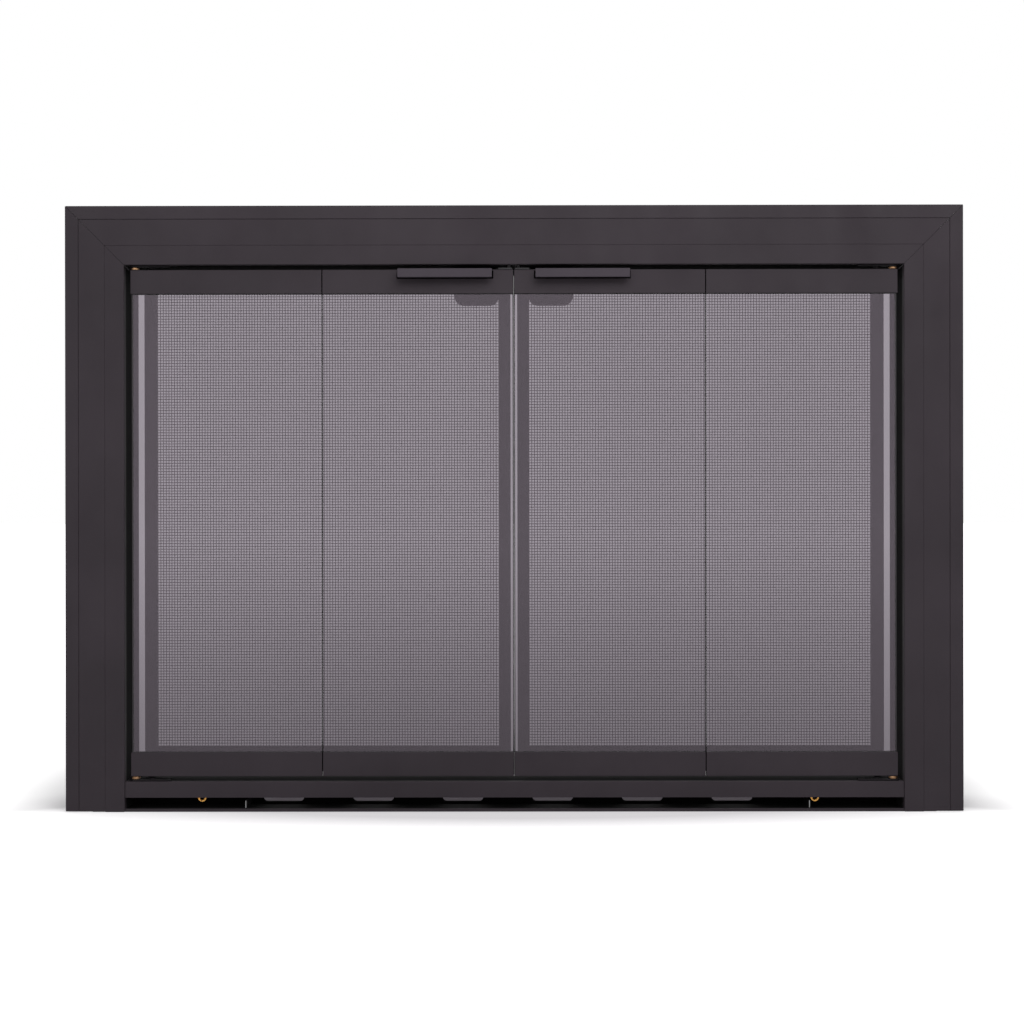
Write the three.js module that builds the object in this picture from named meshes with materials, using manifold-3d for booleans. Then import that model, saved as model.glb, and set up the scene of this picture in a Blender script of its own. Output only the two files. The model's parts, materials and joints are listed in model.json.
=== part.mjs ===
// Fireplace glass door: a mitred steel surround with two bi-fold pairs of smoked glass leaves,
// two wire mesh gates behind them and a slotted draft damper in the bottom channel.
// Millimetres. X to the right, Y into the fireplace, Z up. While it is built, y = 0 is the face of
// the surround and z = 0 the hearth. Pieces that come in pairs are drawn on the right and mirrored.

import * as THREE from 'three';
import { mergeVertices } from 'three/addons/utils/BufferGeometryUtils.js';
import Module from 'manifold-3d';

const wasm = await Module();
wasm.setup();

// ---------------------------------------------------------------- driving dimensions

const OVERALL_WIDTH = 1016;
const OVERALL_HEIGHT = 686;
const FRAME_DEPTH = 50;
const SEAT = 0.3; // gap left between a piece and the one it rests on or fits in

// Casing: the outer trim
const CASING_WIDTH = 45;
const CASING_WALL = 1.8;
const CASING_DEPTH = 16;
const CASING_LIP = 10;
const CASING_FOOT = 0.7; // the casing's foot ends this far above the hearth
const RIM_WIDTH = 15.4; // sloped outer strip, to the middle of the V-groove
const RIM_DROP = 1;
const GROOVE_WIDTH = 0.9;
const GROOVE_DEPTH = 0.9;
const EDGE_EASE = 0.6;

// Jamb: the inner profile, with the leg that goes into the fireplace
const JAMB_FACE = 21.7;
const JAMB_WALL = 1.8;
const JAMB_TONGUE = 15; // part behind the casing
const JAMB_BACK_FLANGE = 6.5;

// Corner keys, brackets and clamps
const KEY_WALL = 2;
const KEY_ARM = 70;
const KEY_EDGE = 4;
const BRACKET_WALL = 2;
const BRACKET_LENGTH = 30;
const BRACKET_HEIGHT = 45;
const BRACKET_FOOT = 27;
const BRACKET_Y = 14;
const BRACKET_SLOT_WIDTH = 6.5;
const BRACKET_SLOT_LENGTH = 15;
const CLAMP_WALL = 3;
const CLAMP_WIDTH = 25;
const CLAMP_X = 310;
const CLAMP_FRONT = 20;
const CLAMP_REACH = 84; // from the front of the strap to the face of the ear
const CLAMP_EAR = 30;
const CLAMP_SLOT_WIDTH = 7;
const CLAMP_SLOT_LENGTH = 22;
const CLAMP_SLOT_INSET = 15; // middle of the slot, from the front of the strap
const CLAMP_HOLE_RADIUS = 3.2;

// Bottom channel and draft damper
const CHANNEL_HEIGHT = 34;
const CHANNEL_WALL = 1.8;
const CHANNEL_RECESS = 1.5;
const CHANNEL_LIP = 3.4;
const CHANNEL_RETURN = 10.5;
const DRAFT_TOP = 16; // upper edge of the draft opening
const SLOT_PITCH = 103.6;
const SLOT_WIDTH = 51.7;
const SLOT_HEIGHT = 14;
const SLOT_SILL = 4.9;
const SLOT_RADIUS = 5;
const SLOT_CENTRE = -5.3; // middle of the web's row of slots
const SLOT_SIDE_ROOM = 100; // left free beside the row for the damper's ends and stops
const DAMPER_SHIFT = -4.6; // damper's slots from the web's, as stored
const DAMPER_WALL = 1.2;
const DAMPER_TOP = 24.7;
const DAMPER_LEFT_MARGIN = 10.3;
const DAMPER_RIGHT_MARGIN = 60;
const DAMPER_TRAVEL_LEFT = 50.5;
const DAMPER_TRAVEL_RIGHT = 6.5;
const TAB_FRONT = 5;
const TAB_SILL = 3.4;
const TAB_HEIGHT = 9;
const STOP_HEAD_RADIUS = 5.25;
const STOP_HEAD_HEIGHT = 3;
const STOP_SHANK_RADIUS = 2;
const STOP_SHANK_LENGTH = 4;
const STOP_HEIGHT = 9.7;
const GUIDE_STRIP_LENGTH = 400;
const GUIDE_STRIP_WALL = 1.5;
const GUIDE_STRIP_LAP = 4.7; // height by which the strip laps over the damper

// Glass leaves
const LEAF_FRONT = 5.5;
const LEAF_TOP_GAP = 5;
const LEAF_BOTTOM_GAP = 5.4;
const PIVOT_TO_JAMB = 11;
const LEAF_END_INSET = 4.6; // from the pivot to the leaf's end
const CENTRE_GAP = 1.4;
const FOLD_GAP = 1.2;
const GUIDE_INSET = 4.3; // from the leaf's centre end to the guide pin
const RAIL_HEIGHT = 27;
const RAIL_DEPTH = 9;
const RAIL_WALL = 1.2;
const GLASS_THICKNESS = 4.8;
const GLASS_BITE = 13.7; // height of glass held in a rail
const GLASS_ARRIS = 0.5;
const GLASS_END_INSET = 1; // glass stands back from the outer end of its rails

// Pivots
const BUSH_WALL = 0.6;
const BUSH_FLANGE_RADIUS = 5;
const BUSH_LENGTH = 10;
const PIVOT_PLATE_WALL = 1.8;
const PIVOT_PLATE_LENGTH = 40;
const PIVOT_PLATE_RADIUS = 6.5;
const RIVET_RADIUS = 3.5;
const RIVET_HEIGHT = 1.4;
const RIVET_INSET = 19; // from the pivot

// Fold hinges
const KNUCKLE_RADIUS = 2.2;
const HINGE_PIN_RADIUS = 1.1;
const HINGE_WALL = 1.2;
const HINGE_HEIGHT = 25;
const HINGE_WIDTH = 22;
const END_KNUCKLE = 7.2;
const HINGE_PROUD = 2.7; // hinge stands this far past the rail's glass-side edge

// Pull handles and guide shoes
const HANDLE_INSET = 24.6; // from the centre of the door
const HANDLE_LENGTH = 106.5;
const HANDLE_HEIGHT = 10.2;
const HANDLE_REACH = 13;
const HANDLE_WALL = 1.5;
const NOTCH_MARGIN = 1.5;
const SHOE_LENGTH = 16;
const SHOE_WIDTH = 8;
const SHOE_HEIGHT = 1.7;
const GUIDE_PIN_RADIUS = 2;
const GUIDE_PIN_RISE = 3; // above the head's leg
const TRACK_CLEARANCE = 0.5;
const TRACK_REACH = 383; // half length of the slot in the head

// Mesh gates
const GATE_CENTRE_GAP = 7.8;
const GATE_SIDE_GAP = 15.8;
const GATE_BOTTOM_GAP = 7;
const GATE_TOP_GAP = 2;
const GATE_DEPTH = 6;
const GATE_BACK_GAP = 6;
const GATE_WALL = 1.2;
const GATE_STILE = 13.3;
const GATE_INNER_STILE = 11.8;
const GATE_TOP_RAIL = 18.5;
const GATE_BOTTOM_RAIL = 24;
const GATE_PIN_RADIUS = 2.5;
const GATE_PIN_INSET = 6.7;
const GATE_PIN_RISE = 2.2; // past the far side of the wall it turns in
const GATE_COLLAR_RADIUS = 4.5;
const NET_WIRE = 1;
const NET_PITCH = 40; // least spacing of the net's wires, which are drawn far apart

// Catch plates
const CATCH_INSET = 17;
const CATCH_WIDTH = 51;
const CATCH_DROP = 43;
const CATCH_WALL = 1.2;
const CATCH_RADIUS = 11;
const CATCH_FLANGE = 13;

// ---------------------------------------------------------------- derived places

const HALF_WIDTH = OVERALL_WIDTH / 2;
const FACE_WIDTH = CASING_WIDTH + SEAT + JAMB_FACE;
const OPENING_HALF = HALF_WIDTH - FACE_WIDTH;
const OPENING_TOP = OVERALL_HEIGHT - FACE_WIDTH;
const HEAD_LEG_TOP = OPENING_TOP + JAMB_WALL;
const MITRE_GAP = SEAT / Math.SQRT2;

const CHANNEL_HALF = OPENING_HALF - SEAT;
const CHANNEL_BACK = FRAME_DEPTH - JAMB_WALL - SEAT;
const WEB_FRONT = CHANNEL_BACK - CHANNEL_WALL;
const DAMPER_BACK = WEB_FRONT - SEAT;
const DAMPER_FRONT = DAMPER_BACK - DAMPER_WALL;
const DAMPER_BOTTOM = CHANNEL_WALL + SEAT;

const SLOT_ROW_ROOM = 2 * CHANNEL_HALF - SLOT_SIDE_ROOM - DAMPER_LEFT_MARGIN - DAMPER_RIGHT_MARGIN;
const SLOT_COUNT = Math.floor(SLOT_ROW_ROOM / SLOT_PITCH);
const SLOT_ROW_HALF = ((SLOT_COUNT - 1) * SLOT_PITCH + SLOT_WIDTH) / 2;
const DAMPER_LEFT = SLOT_CENTRE + DAMPER_SHIFT - SLOT_ROW_HALF - DAMPER_LEFT_MARGIN;
const DAMPER_RIGHT = SLOT_CENTRE + DAMPER_SHIFT + SLOT_ROW_HALF + DAMPER_RIGHT_MARGIN;
const STOP_LEFT = DAMPER_LEFT - DAMPER_TRAVEL_LEFT - STOP_HEAD_RADIUS;
const STOP_RIGHT = DAMPER_RIGHT + DAMPER_TRAVEL_RIGHT + STOP_HEAD_RADIUS;

const LEAF_BACK = LEAF_FRONT + RAIL_DEPTH;
const LEAF_TOP = OPENING_TOP - LEAF_TOP_GAP;
const LEAF_BOTTOM = CHANNEL_HEIGHT + LEAF_BOTTOM_GAP;
const CHAMBER_FRONT = LEAF_FRONT + RAIL_WALL;
const CHAMBER_BACK = LEAF_BACK - RAIL_WALL;
const PIVOT_X = OPENING_HALF - PIVOT_TO_JAMB;
const PIVOT_Y = LEAF_FRONT + RAIL_DEPTH / 2;
const LEAF_OUTER_END = PIVOT_X + LEAF_END_INSET;
const LEAF_INNER_END = CENTRE_GAP / 2;
const GUIDE_X = LEAF_INNER_END + GUIDE_INSET;
// The fold lies half way between pivot and guide pin, so that both leaves turn by the same angle.
const FOLD_X = (PIVOT_X + GUIDE_X) / 2;
const FOLD_Y = LEAF_BACK + SEAT + KNUCKLE_RADIUS;
const GLASS_BOTTOM = LEAF_BOTTOM + RAIL_HEIGHT - GLASS_BITE;
const GLASS_TOP = LEAF_TOP - RAIL_HEIGHT + GLASS_BITE;

const BUSH_RADIUS = (CHAMBER_BACK - CHAMBER_FRONT) / 2 - SEAT - 0.1;
const BUSH_BORE = BUSH_RADIUS - BUSH_WALL;
const PIVOT_PIN_RADIUS = BUSH_BORE - SEAT;

const GATE_OUTER = OPENING_HALF - GATE_SIDE_GAP;
const GATE_INNER = GATE_CENTRE_GAP / 2;
const GATE_BOTTOM = CHANNEL_HEIGHT + GATE_BOTTOM_GAP;
const GATE_TOP = OPENING_TOP - JAMB_BACK_FLANGE - GATE_TOP_GAP;
const GATE_BACK = FRAME_DEPTH - GATE_BACK_GAP;
const GATE_FRONT = GATE_BACK - GATE_DEPTH;
const GATE_PIN_X = GATE_OUTER - GATE_PIN_INSET;
const GATE_PIN_Y = (GATE_FRONT + GATE_BACK) / 2;

const CLAMP_EAR_FACE = CLAMP_FRONT + CLAMP_REACH;
const FRONT_MOST = LEAF_FRONT - HANDLE_REACH;
const BACK_MOST = CLAMP_EAR_FACE + CLAMP_WALL;

// ---------------------------------------------------------------- shapes and solids

function shapeOf(points) {
  return new THREE.Shape(points.map(([a, b]) => new THREE.Vector2(a, b)));
}

function roundedRectangle(target, left, bottom, width, height, radius) {
  target.moveTo(left + radius, bottom);
  target.lineTo(left + width - radius, bottom);
  target.absarc(left + width - radius, bottom + radius, radius, -Math.PI / 2, 0, false);
  target.absarc(left + width - radius, bottom + height - radius, radius, 0, Math.PI / 2, false);
  target.absarc(left + radius, bottom + height - radius, radius, Math.PI / 2, Math.PI, false);
  target.absarc(left + radius, bottom + radius, radius, Math.PI, 1.5 * Math.PI, false);
  return target;
}

function extruded(shape, length, curveSegments = 5) {
  return new THREE.ExtrudeGeometry(shape, { depth: length, bevelEnabled: false, curveSegments });
}

// A profile in (x, y), drawn upwards from z0 to z1.
function alongZ(shape, z0, z1, curveSegments) {
  return extruded(shape, z1 - z0, curveSegments).translate(0, 0, z0);
}

// A profile in (y, z), drawn from x0 to x1.
function alongX(shape, x0, x1, curveSegments) {
  const turn = new THREE.Matrix4().makeBasis(
    new THREE.Vector3(0, 1, 0),
    new THREE.Vector3(0, 0, 1),
    new THREE.Vector3(1, 0, 0),
  );
  return extruded(shape, x1 - x0, curveSegments).applyMatrix4(turn).translate(x0, 0, 0);
}

// An outline in (x, z), drawn from y0 to y1.
function alongY(shape, y0, y1, curveSegments) {
  const turn = new THREE.Matrix4().makeBasis(
    new THREE.Vector3(1, 0, 0),
    new THREE.Vector3(0, 0, 1),
    new THREE.Vector3(0, -1, 0),
  );
  return extruded(shape, y1 - y0, curveSegments).applyMatrix4(turn).translate(0, y1, 0);
}

function block(x0, x1, y0, y1, z0, z1) {
  const box = new THREE.BoxGeometry(x1 - x0, y1 - y0, z1 - z0);
  return box.translate((x0 + x1) / 2, (y0 + y1) / 2, (z0 + z1) / 2);
}

// A round bar about the line (x, y), from z0 to z1.
function rod(radius, x, y, z0, z1, sides = 16) {
  const bar = new THREE.CylinderGeometry(radius, radius, z1 - z0, sides);
  return bar.rotateX(Math.PI / 2).translate(x, y, (z0 + z1) / 2);
}

// A profile in (radius, z), turned about the Z axis.
function turned(points, sides = 20) {
  const profile = points.map(([radius, z]) => new THREE.Vector2(radius, z));
  return new THREE.LatheGeometry(profile, sides).rotateX(Math.PI / 2);
}

// Moves one end of a straight piece to a mitre plane.
function mitred(geometry, axis, end, plane) {
  const position = geometry.attributes.position;
  const vertex = new THREE.Vector3();
  for (let i = 0; i < position.count; i += 1) {
    vertex.fromBufferAttribute(position, i);
    if (Math.abs(vertex[axis] - end) < 1e-3) {
      vertex[axis] = plane(vertex);
      position.setXYZ(i, vertex.x, vertex.y, vertex.z);
    }
  }
  return geometry;
}

function toSolid(geometry) {
  const bare = geometry.clone();
  bare.deleteAttribute('normal');
  bare.deleteAttribute('uv');
  const merged = mergeVertices(bare, 1e-5);
  return new wasm.Manifold(new wasm.Mesh({
    numProp: 3,
    vertProperties: new Float32Array(merged.attributes.position.array),
    triVerts: new Uint32Array(merged.index.array),
  }));
}

function fromSolid(solid) {
  const mesh = solid.getMesh();
  const geometry = new THREE.BufferGeometry();
  geometry.setAttribute('position', new THREE.BufferAttribute(mesh.vertProperties, 3));
  geometry.setIndex(new THREE.BufferAttribute(mesh.triVerts, 1));
  geometry.computeVertexNormals();
  return geometry;
}

function cut(base, ...tools) {
  return fromSolid(tools.reduce((solid, tool) => solid.subtract(toSolid(tool)), toSolid(base)));
}

function joined(first, ...others) {
  return fromSolid(others.reduce((solid, other) => solid.add(toSolid(other)), toSolid(first)));
}

function mirrored(geometry) {
  const copy = mergeVertices(bareCopy(geometry), 1e-5);
  copy.scale(-1, 1, 1);
  const index = copy.index;
  for (let i = 0; i < index.count; i += 3) {
    const second = index.getX(i + 1);
    index.setX(i + 1, index.getX(i + 2));
    index.setX(i + 2, second);
  }
  copy.computeVertexNormals();
  return copy;
}

function bareCopy(geometry) {
  const copy = geometry.clone();
  copy.deleteAttribute('normal');
  copy.deleteAttribute('uv');
  return copy;
}

// ---------------------------------------------------------------- materials

function finish(color, roughness, metalness, opacity = 1) {
  return new THREE.MeshStandardMaterial({ color, roughness, metalness, opacity, transparent: opacity < 1 });
}

const BLACK_PAINT = finish(0x3c373c, 0.55, 0.1);
const INNER_PAINT = finish(0x2c292c, 0.6, 0.1);
const SMOKED_GLASS = finish(0x6b646c, 0.05, 0, 0.45);
const BRASS = finish(0xc99a4a, 0.3, 1);
const ZINC = finish(0x8f8f92, 0.4, 1);
const MESH_BLACK = finish(0x343136, 0.6, 0.3);
const SHOE_GREY = finish(0x4a484b, 0.6, 0);

// ---------------------------------------------------------------- assembly

const door = new THREE.Group();
door.position.y = -(FRONT_MOST + BACK_MOST) / 2;

function add(group, name, geometry, material, position = [0, 0, 0]) {
  const mesh = new THREE.Mesh(geometry, material.clone());
  mesh.name = name;
  mesh.position.set(...position);
  group.add(mesh);
  return mesh;
}

// The piece on the right, and its mirror image on the left.
function addPair(groups, name, geometry, material, position = [0, 0, 0]) {
  const [x, y, z] = position;
  add(groups.right, `right_${name}`, geometry, material, position);
  add(groups.left, `left_${name}`, mirrored(geometry), material, [-x, y, z]);
}

function newGroup(parent) {
  const group = new THREE.Group();
  parent.add(group);
  return group;
}

function newGroups() {
  return { left: newGroup(door), right: newGroup(door) };
}

const frame = newGroup(door);
const frameSides = { left: frame, right: frame };
const outerLeaves = newGroups();
const innerLeaves = newGroups();
const gates = newGroups();

// ---------------------------------------------------------------- surround: casings and jambs

// Profiles of the surround are drawn in (u, y), with u measured inwards from the outer edge.
const casingProfile = [
  [0, CASING_DEPTH],
  [0, RIM_DROP + EDGE_EASE],
  [EDGE_EASE, RIM_DROP],
  [RIM_WIDTH - GROOVE_WIDTH / 2, 0],
  [RIM_WIDTH, GROOVE_DEPTH],
  [RIM_WIDTH + GROOVE_WIDTH / 2, 0],
  [CASING_WIDTH - EDGE_EASE / 2, 0],
  [CASING_WIDTH, EDGE_EASE / 2],
  [CASING_WIDTH, CASING_WALL],
  [RIM_WIDTH, CASING_WALL],
  [CASING_WALL, CASING_WALL + RIM_DROP],
  [CASING_WALL, CASING_DEPTH - CASING_WALL],
  [CASING_LIP, CASING_DEPTH - CASING_WALL],
  [CASING_LIP, CASING_DEPTH],
];

const jambFaceStart = CASING_WIDTH + SEAT;
const tongueFront = CASING_WALL + SEAT;
const tongueBack = tongueFront + JAMB_WALL;
const tongueStart = jambFaceStart - JAMB_TONGUE;
const jambProfile = [
  [tongueStart, tongueFront],
  [jambFaceStart, tongueFront],
  [jambFaceStart, EDGE_EASE / 2],
  [jambFaceStart + EDGE_EASE / 2, 0],
  [FACE_WIDTH - EDGE_EASE, 0],
  [FACE_WIDTH, EDGE_EASE],
  [FACE_WIDTH, FRAME_DEPTH - JAMB_WALL],
  [FACE_WIDTH + JAMB_BACK_FLANGE, FRAME_DEPTH - JAMB_WALL],
  [FACE_WIDTH + JAMB_BACK_FLANGE, FRAME_DEPTH],
  [FACE_WIDTH - JAMB_WALL, FRAME_DEPTH],
  [FACE_WIDTH - JAMB_WALL, JAMB_WALL],
  [jambFaceStart + 2 * JAMB_WALL, JAMB_WALL],
  [jambFaceStart + 2 * JAMB_WALL, tongueBack],
  [tongueStart, tongueBack],
];

// Right-hand upright of the surround, with its foot at z0 and a mitre at the top.
function upright(profile, z0) {
  const shape = shapeOf(profile.map(([u, y]) => [HALF_WIDTH - u, y]));
  const plane = (vertex) => OVERALL_HEIGHT - (HALF_WIDTH - vertex.x) - MITRE_GAP;
  return mitred(alongZ(shape, z0, OVERALL_HEIGHT), 'z', OVERALL_HEIGHT, plane);
}

// Head of the surround, mitred at both ends.
function header(profile) {
  const shape = shapeOf(profile.map(([u, y]) => [y, OVERALL_HEIGHT - u]));
  const reach = (vertex) => HALF_WIDTH - (OVERALL_HEIGHT - vertex.z) - MITRE_GAP;
  const bar = alongX(shape, -HALF_WIDTH, HALF_WIDTH);
  mitred(bar, 'x', HALF_WIDTH, reach);
  return mitred(bar, 'x', -HALF_WIDTH, (vertex) => -reach(vertex));
}

addPair(frameSides, 'casing', upright(casingProfile, CASING_FOOT), BLACK_PAINT);
add(frame, 'head_casing', header(casingProfile), BLACK_PAINT);
addPair(frameSides, 'jamb', upright(jambProfile, 0), BLACK_PAINT);

// The head's leg has a long slot in which the guide pins run, and a hole for each gate's pin.
const trackHalfWidth = GUIDE_PIN_RADIUS + TRACK_CLEARANCE;
const trackShape = roundedRectangle(
  new THREE.Shape(),
  -TRACK_REACH,
  PIVOT_Y - trackHalfWidth,
  2 * TRACK_REACH,
  2 * trackHalfWidth,
  trackHalfWidth - 0.01,
);
const gatePinHole = GATE_PIN_RADIUS + SEAT;
add(frame, 'head_jamb', cut(
  header(jambProfile),
  alongZ(trackShape, OPENING_TOP - 1, HEAD_LEG_TOP + 1, 4),
  rod(gatePinHole, GATE_PIN_X, GATE_PIN_Y, OPENING_TOP - 1, HEAD_LEG_TOP + 1),
  rod(gatePinHole, -GATE_PIN_X, GATE_PIN_Y, OPENING_TOP - 1, HEAD_LEG_TOP + 1),
), BLACK_PAINT);

// ---------------------------------------------------------------- corner keys, brackets, clamps

const keyFront = CASING_WALL + RIM_DROP + SEAT;
const keyOuter = HALF_WIDTH - KEY_EDGE;
const keyTop = OVERALL_HEIGHT - KEY_EDGE;
const keyWidth = tongueStart - SEAT - KEY_EDGE - 2;
const cornerKey = alongY(shapeOf([
  [keyOuter, keyTop],
  [keyOuter, keyTop - KEY_ARM],
  [keyOuter - keyWidth, keyTop - KEY_ARM],
  [keyOuter - keyWidth, keyTop - keyWidth],
  [keyOuter - KEY_ARM, keyTop - keyWidth],
  [keyOuter - KEY_ARM, keyTop],
]), keyFront, keyFront + KEY_WALL);
addPair(frameSides, 'corner_key', cornerKey, ZINC);

// Floor bracket: an angle against the outer side of the jamb's leg, standing on the hearth.
const bracketInner = OPENING_HALF + JAMB_WALL + SEAT;
const bracketMiddle = BRACKET_Y + BRACKET_LENGTH / 2;
const footMiddle = bracketInner + BRACKET_WALL + (BRACKET_FOOT - BRACKET_WALL) / 2;
const bracketAngle = alongY(shapeOf([
  [bracketInner, 0],
  [bracketInner + BRACKET_FOOT, 0],
  [bracketInner + BRACKET_FOOT, BRACKET_WALL],
  [bracketInner + BRACKET_WALL, BRACKET_WALL],
  [bracketInner + BRACKET_WALL, BRACKET_HEIGHT],
  [bracketInner, BRACKET_HEIGHT],
]), BRACKET_Y, BRACKET_Y + BRACKET_LENGTH);
const footSlot = alongZ(roundedRectangle(
  new THREE.Shape(),
  footMiddle - BRACKET_SLOT_WIDTH / 2,
  bracketMiddle - BRACKET_SLOT_LENGTH / 2,
  BRACKET_SLOT_WIDTH,
  BRACKET_SLOT_LENGTH,
  BRACKET_SLOT_WIDTH / 2 - 0.01,
), -1, BRACKET_WALL + 1, 4);
addPair(frameSides, 'floor_bracket', cut(bracketAngle, footSlot), ZINC);

// Lintel clamp: a strap on the head's leg that reaches back under the lintel, with an ear behind it.
const strapBottom = HEAD_LEG_TOP + SEAT;
const strapTop = strapBottom + CLAMP_WALL;
const clampAngle = alongX(shapeOf([
  [CLAMP_FRONT, strapBottom],
  [CLAMP_EAR_FACE + CLAMP_WALL, strapBottom],
  [CLAMP_EAR_FACE + CLAMP_WALL, strapBottom + CLAMP_EAR],
  [CLAMP_EAR_FACE, strapBottom + CLAMP_EAR],
  [CLAMP_EAR_FACE, strapTop],
  [CLAMP_FRONT, strapTop],
]), CLAMP_X - CLAMP_WIDTH / 2, CLAMP_X + CLAMP_WIDTH / 2);
const strapSlot = alongZ(roundedRectangle(
  new THREE.Shape(),
  CLAMP_X - CLAMP_SLOT_WIDTH / 2,
  CLAMP_FRONT + CLAMP_SLOT_INSET - CLAMP_SLOT_LENGTH / 2,
  CLAMP_SLOT_WIDTH,
  CLAMP_SLOT_LENGTH,
  CLAMP_SLOT_WIDTH / 2 - 0.01,
), strapBottom - 1, strapTop + 1, 4);
const earHole = rod(CLAMP_HOLE_RADIUS, 0, 0, -CLAMP_WALL, CLAMP_WALL)
  .rotateX(Math.PI / 2)
  .translate(CLAMP_X, CLAMP_EAR_FACE + CLAMP_WALL / 2, strapBottom + 0.6 * CLAMP_EAR);
addPair(frameSides, 'lintel_clamp', cut(clampAngle, strapSlot, earHole), ZINC);

// ---------------------------------------------------------------- bottom channel

const channelProfile = shapeOf([
  [CHANNEL_RECESS, 0],
  [CHANNEL_BACK, 0],
  [CHANNEL_BACK, CHANNEL_HEIGHT],
  [CHANNEL_RECESS + EDGE_EASE, CHANNEL_HEIGHT],
  [CHANNEL_RECESS, CHANNEL_HEIGHT - EDGE_EASE],
  [CHANNEL_RECESS, DRAFT_TOP],
  [CHANNEL_RECESS + CHANNEL_RETURN, DRAFT_TOP],
  [CHANNEL_RECESS + CHANNEL_RETURN, DRAFT_TOP + CHANNEL_WALL],
  [CHANNEL_RECESS + CHANNEL_WALL, DRAFT_TOP + CHANNEL_WALL],
  [CHANNEL_RECESS + CHANNEL_WALL, CHANNEL_HEIGHT - CHANNEL_WALL],
  [WEB_FRONT, CHANNEL_HEIGHT - CHANNEL_WALL],
  [WEB_FRONT, CHANNEL_WALL],
  [CHANNEL_RECESS + CHANNEL_WALL, CHANNEL_WALL],
  [CHANNEL_RECESS + CHANNEL_WALL, CHANNEL_LIP],
  [CHANNEL_RECESS, CHANNEL_LIP],
]);

// One cutter for each draft slot of a row about centreX, through the depths y0 to y1.
function slotRow(centreX, y0, y1) {
  const cutters = [];
  for (let i = 0; i < SLOT_COUNT; i += 1) {
    const left = centreX - SLOT_ROW_HALF + i * SLOT_PITCH;
    const outline = roundedRectangle(
      new THREE.Shape(), left, SLOT_SILL, SLOT_WIDTH, SLOT_HEIGHT, SLOT_RADIUS,
    );
    cutters.push(alongY(outline, y0, y1, 3));
  }
  return cutters;
}

function stopHole(x) {
  return rod(STOP_SHANK_RADIUS + SEAT, 0, 0, -CHANNEL_WALL, CHANNEL_WALL, 12)
    .rotateX(Math.PI / 2)
    .translate(x, WEB_FRONT + CHANNEL_WALL / 2, STOP_HEIGHT);
}

function lowerGateHole(x) {
  return rod(gatePinHole, x, GATE_PIN_Y, CHANNEL_HEIGHT - CHANNEL_WALL - 1, CHANNEL_HEIGHT + 1);
}

add(frame, 'bottom_channel', cut(
  alongX(channelProfile, -CHANNEL_HALF, CHANNEL_HALF),
  ...slotRow(SLOT_CENTRE, WEB_FRONT - 1, CHANNEL_BACK + 1),
  stopHole(STOP_LEFT),
  stopHole(STOP_RIGHT),
  lowerGateHole(GATE_PIN_X),
  lowerGateHole(-GATE_PIN_X),
), BLACK_PAINT);

// ---------------------------------------------------------------- draft damper

const damperPlate = block(
  DAMPER_LEFT, DAMPER_RIGHT, DAMPER_FRONT, DAMPER_BACK, DAMPER_BOTTOM, DAMPER_TOP,
);
const tabTop = TAB_SILL + TAB_HEIGHT;
const leftTab = block(
  DAMPER_LEFT, DAMPER_LEFT + DAMPER_WALL, TAB_FRONT, DAMPER_BACK, TAB_SILL, tabTop,
);
const rightTab = block(
  DAMPER_RIGHT - DAMPER_WALL, DAMPER_RIGHT, TAB_FRONT, DAMPER_BACK, TAB_SILL, tabTop,
);
add(door, 'damper_slider', cut(
  joined(damperPlate, leftTab, rightTab),
  ...slotRow(SLOT_CENTRE + DAMPER_SHIFT, DAMPER_FRONT - 1, DAMPER_BACK + 1),
), INNER_PAINT);

// Stop screw: a domed head against the web and a shank through it.
const headSeat = WEB_FRONT - SEAT;
const stopScrew = turned([
  [0, STOP_HEAD_HEIGHT],
  [0.6 * STOP_HEAD_RADIUS, 0.9 * STOP_HEAD_HEIGHT],
  [0.9 * STOP_HEAD_RADIUS, 0.6 * STOP_HEAD_HEIGHT],
  [STOP_HEAD_RADIUS, 0.2 * STOP_HEAD_HEIGHT],
  [STOP_HEAD_RADIUS, 0],
  [STOP_SHANK_RADIUS, 0],
  [STOP_SHANK_RADIUS, -STOP_SHANK_LENGTH],
  [0, -STOP_SHANK_LENGTH],
].reverse()).rotateX(Math.PI / 2);
add(frame, 'left_damper_stop', stopScrew, BRASS, [STOP_LEFT, headSeat, STOP_HEIGHT]);
add(frame, 'right_damper_stop', stopScrew.clone(), BRASS, [STOP_RIGHT, headSeat, STOP_HEIGHT]);

// Guide strip: holds the damper's upper edge against the web.
const stripStep = DAMPER_TOP + 2 * SEAT;
const stripFront = DAMPER_FRONT - SEAT;
const guideStrip = alongX(shapeOf([
  [headSeat, stripStep],
  [headSeat, CHANNEL_HEIGHT - CHANNEL_WALL - SEAT],
  [stripFront - SEAT, CHANNEL_HEIGHT - CHANNEL_WALL - SEAT],
  [stripFront - SEAT, stripStep + GUIDE_STRIP_WALL],
  [stripFront - GUIDE_STRIP_WALL, stripStep + GUIDE_STRIP_WALL],
  [stripFront - GUIDE_STRIP_WALL, DAMPER_TOP - GUIDE_STRIP_LAP],
  [stripFront, DAMPER_TOP - GUIDE_STRIP_LAP],
  [stripFront, stripStep],
]), -GUIDE_STRIP_LENGTH / 2, GUIDE_STRIP_LENGTH / 2);
add(frame, 'damper_guide', guideStrip, INNER_PAINT);

// ---------------------------------------------------------------- leaf rails and glass

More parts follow.
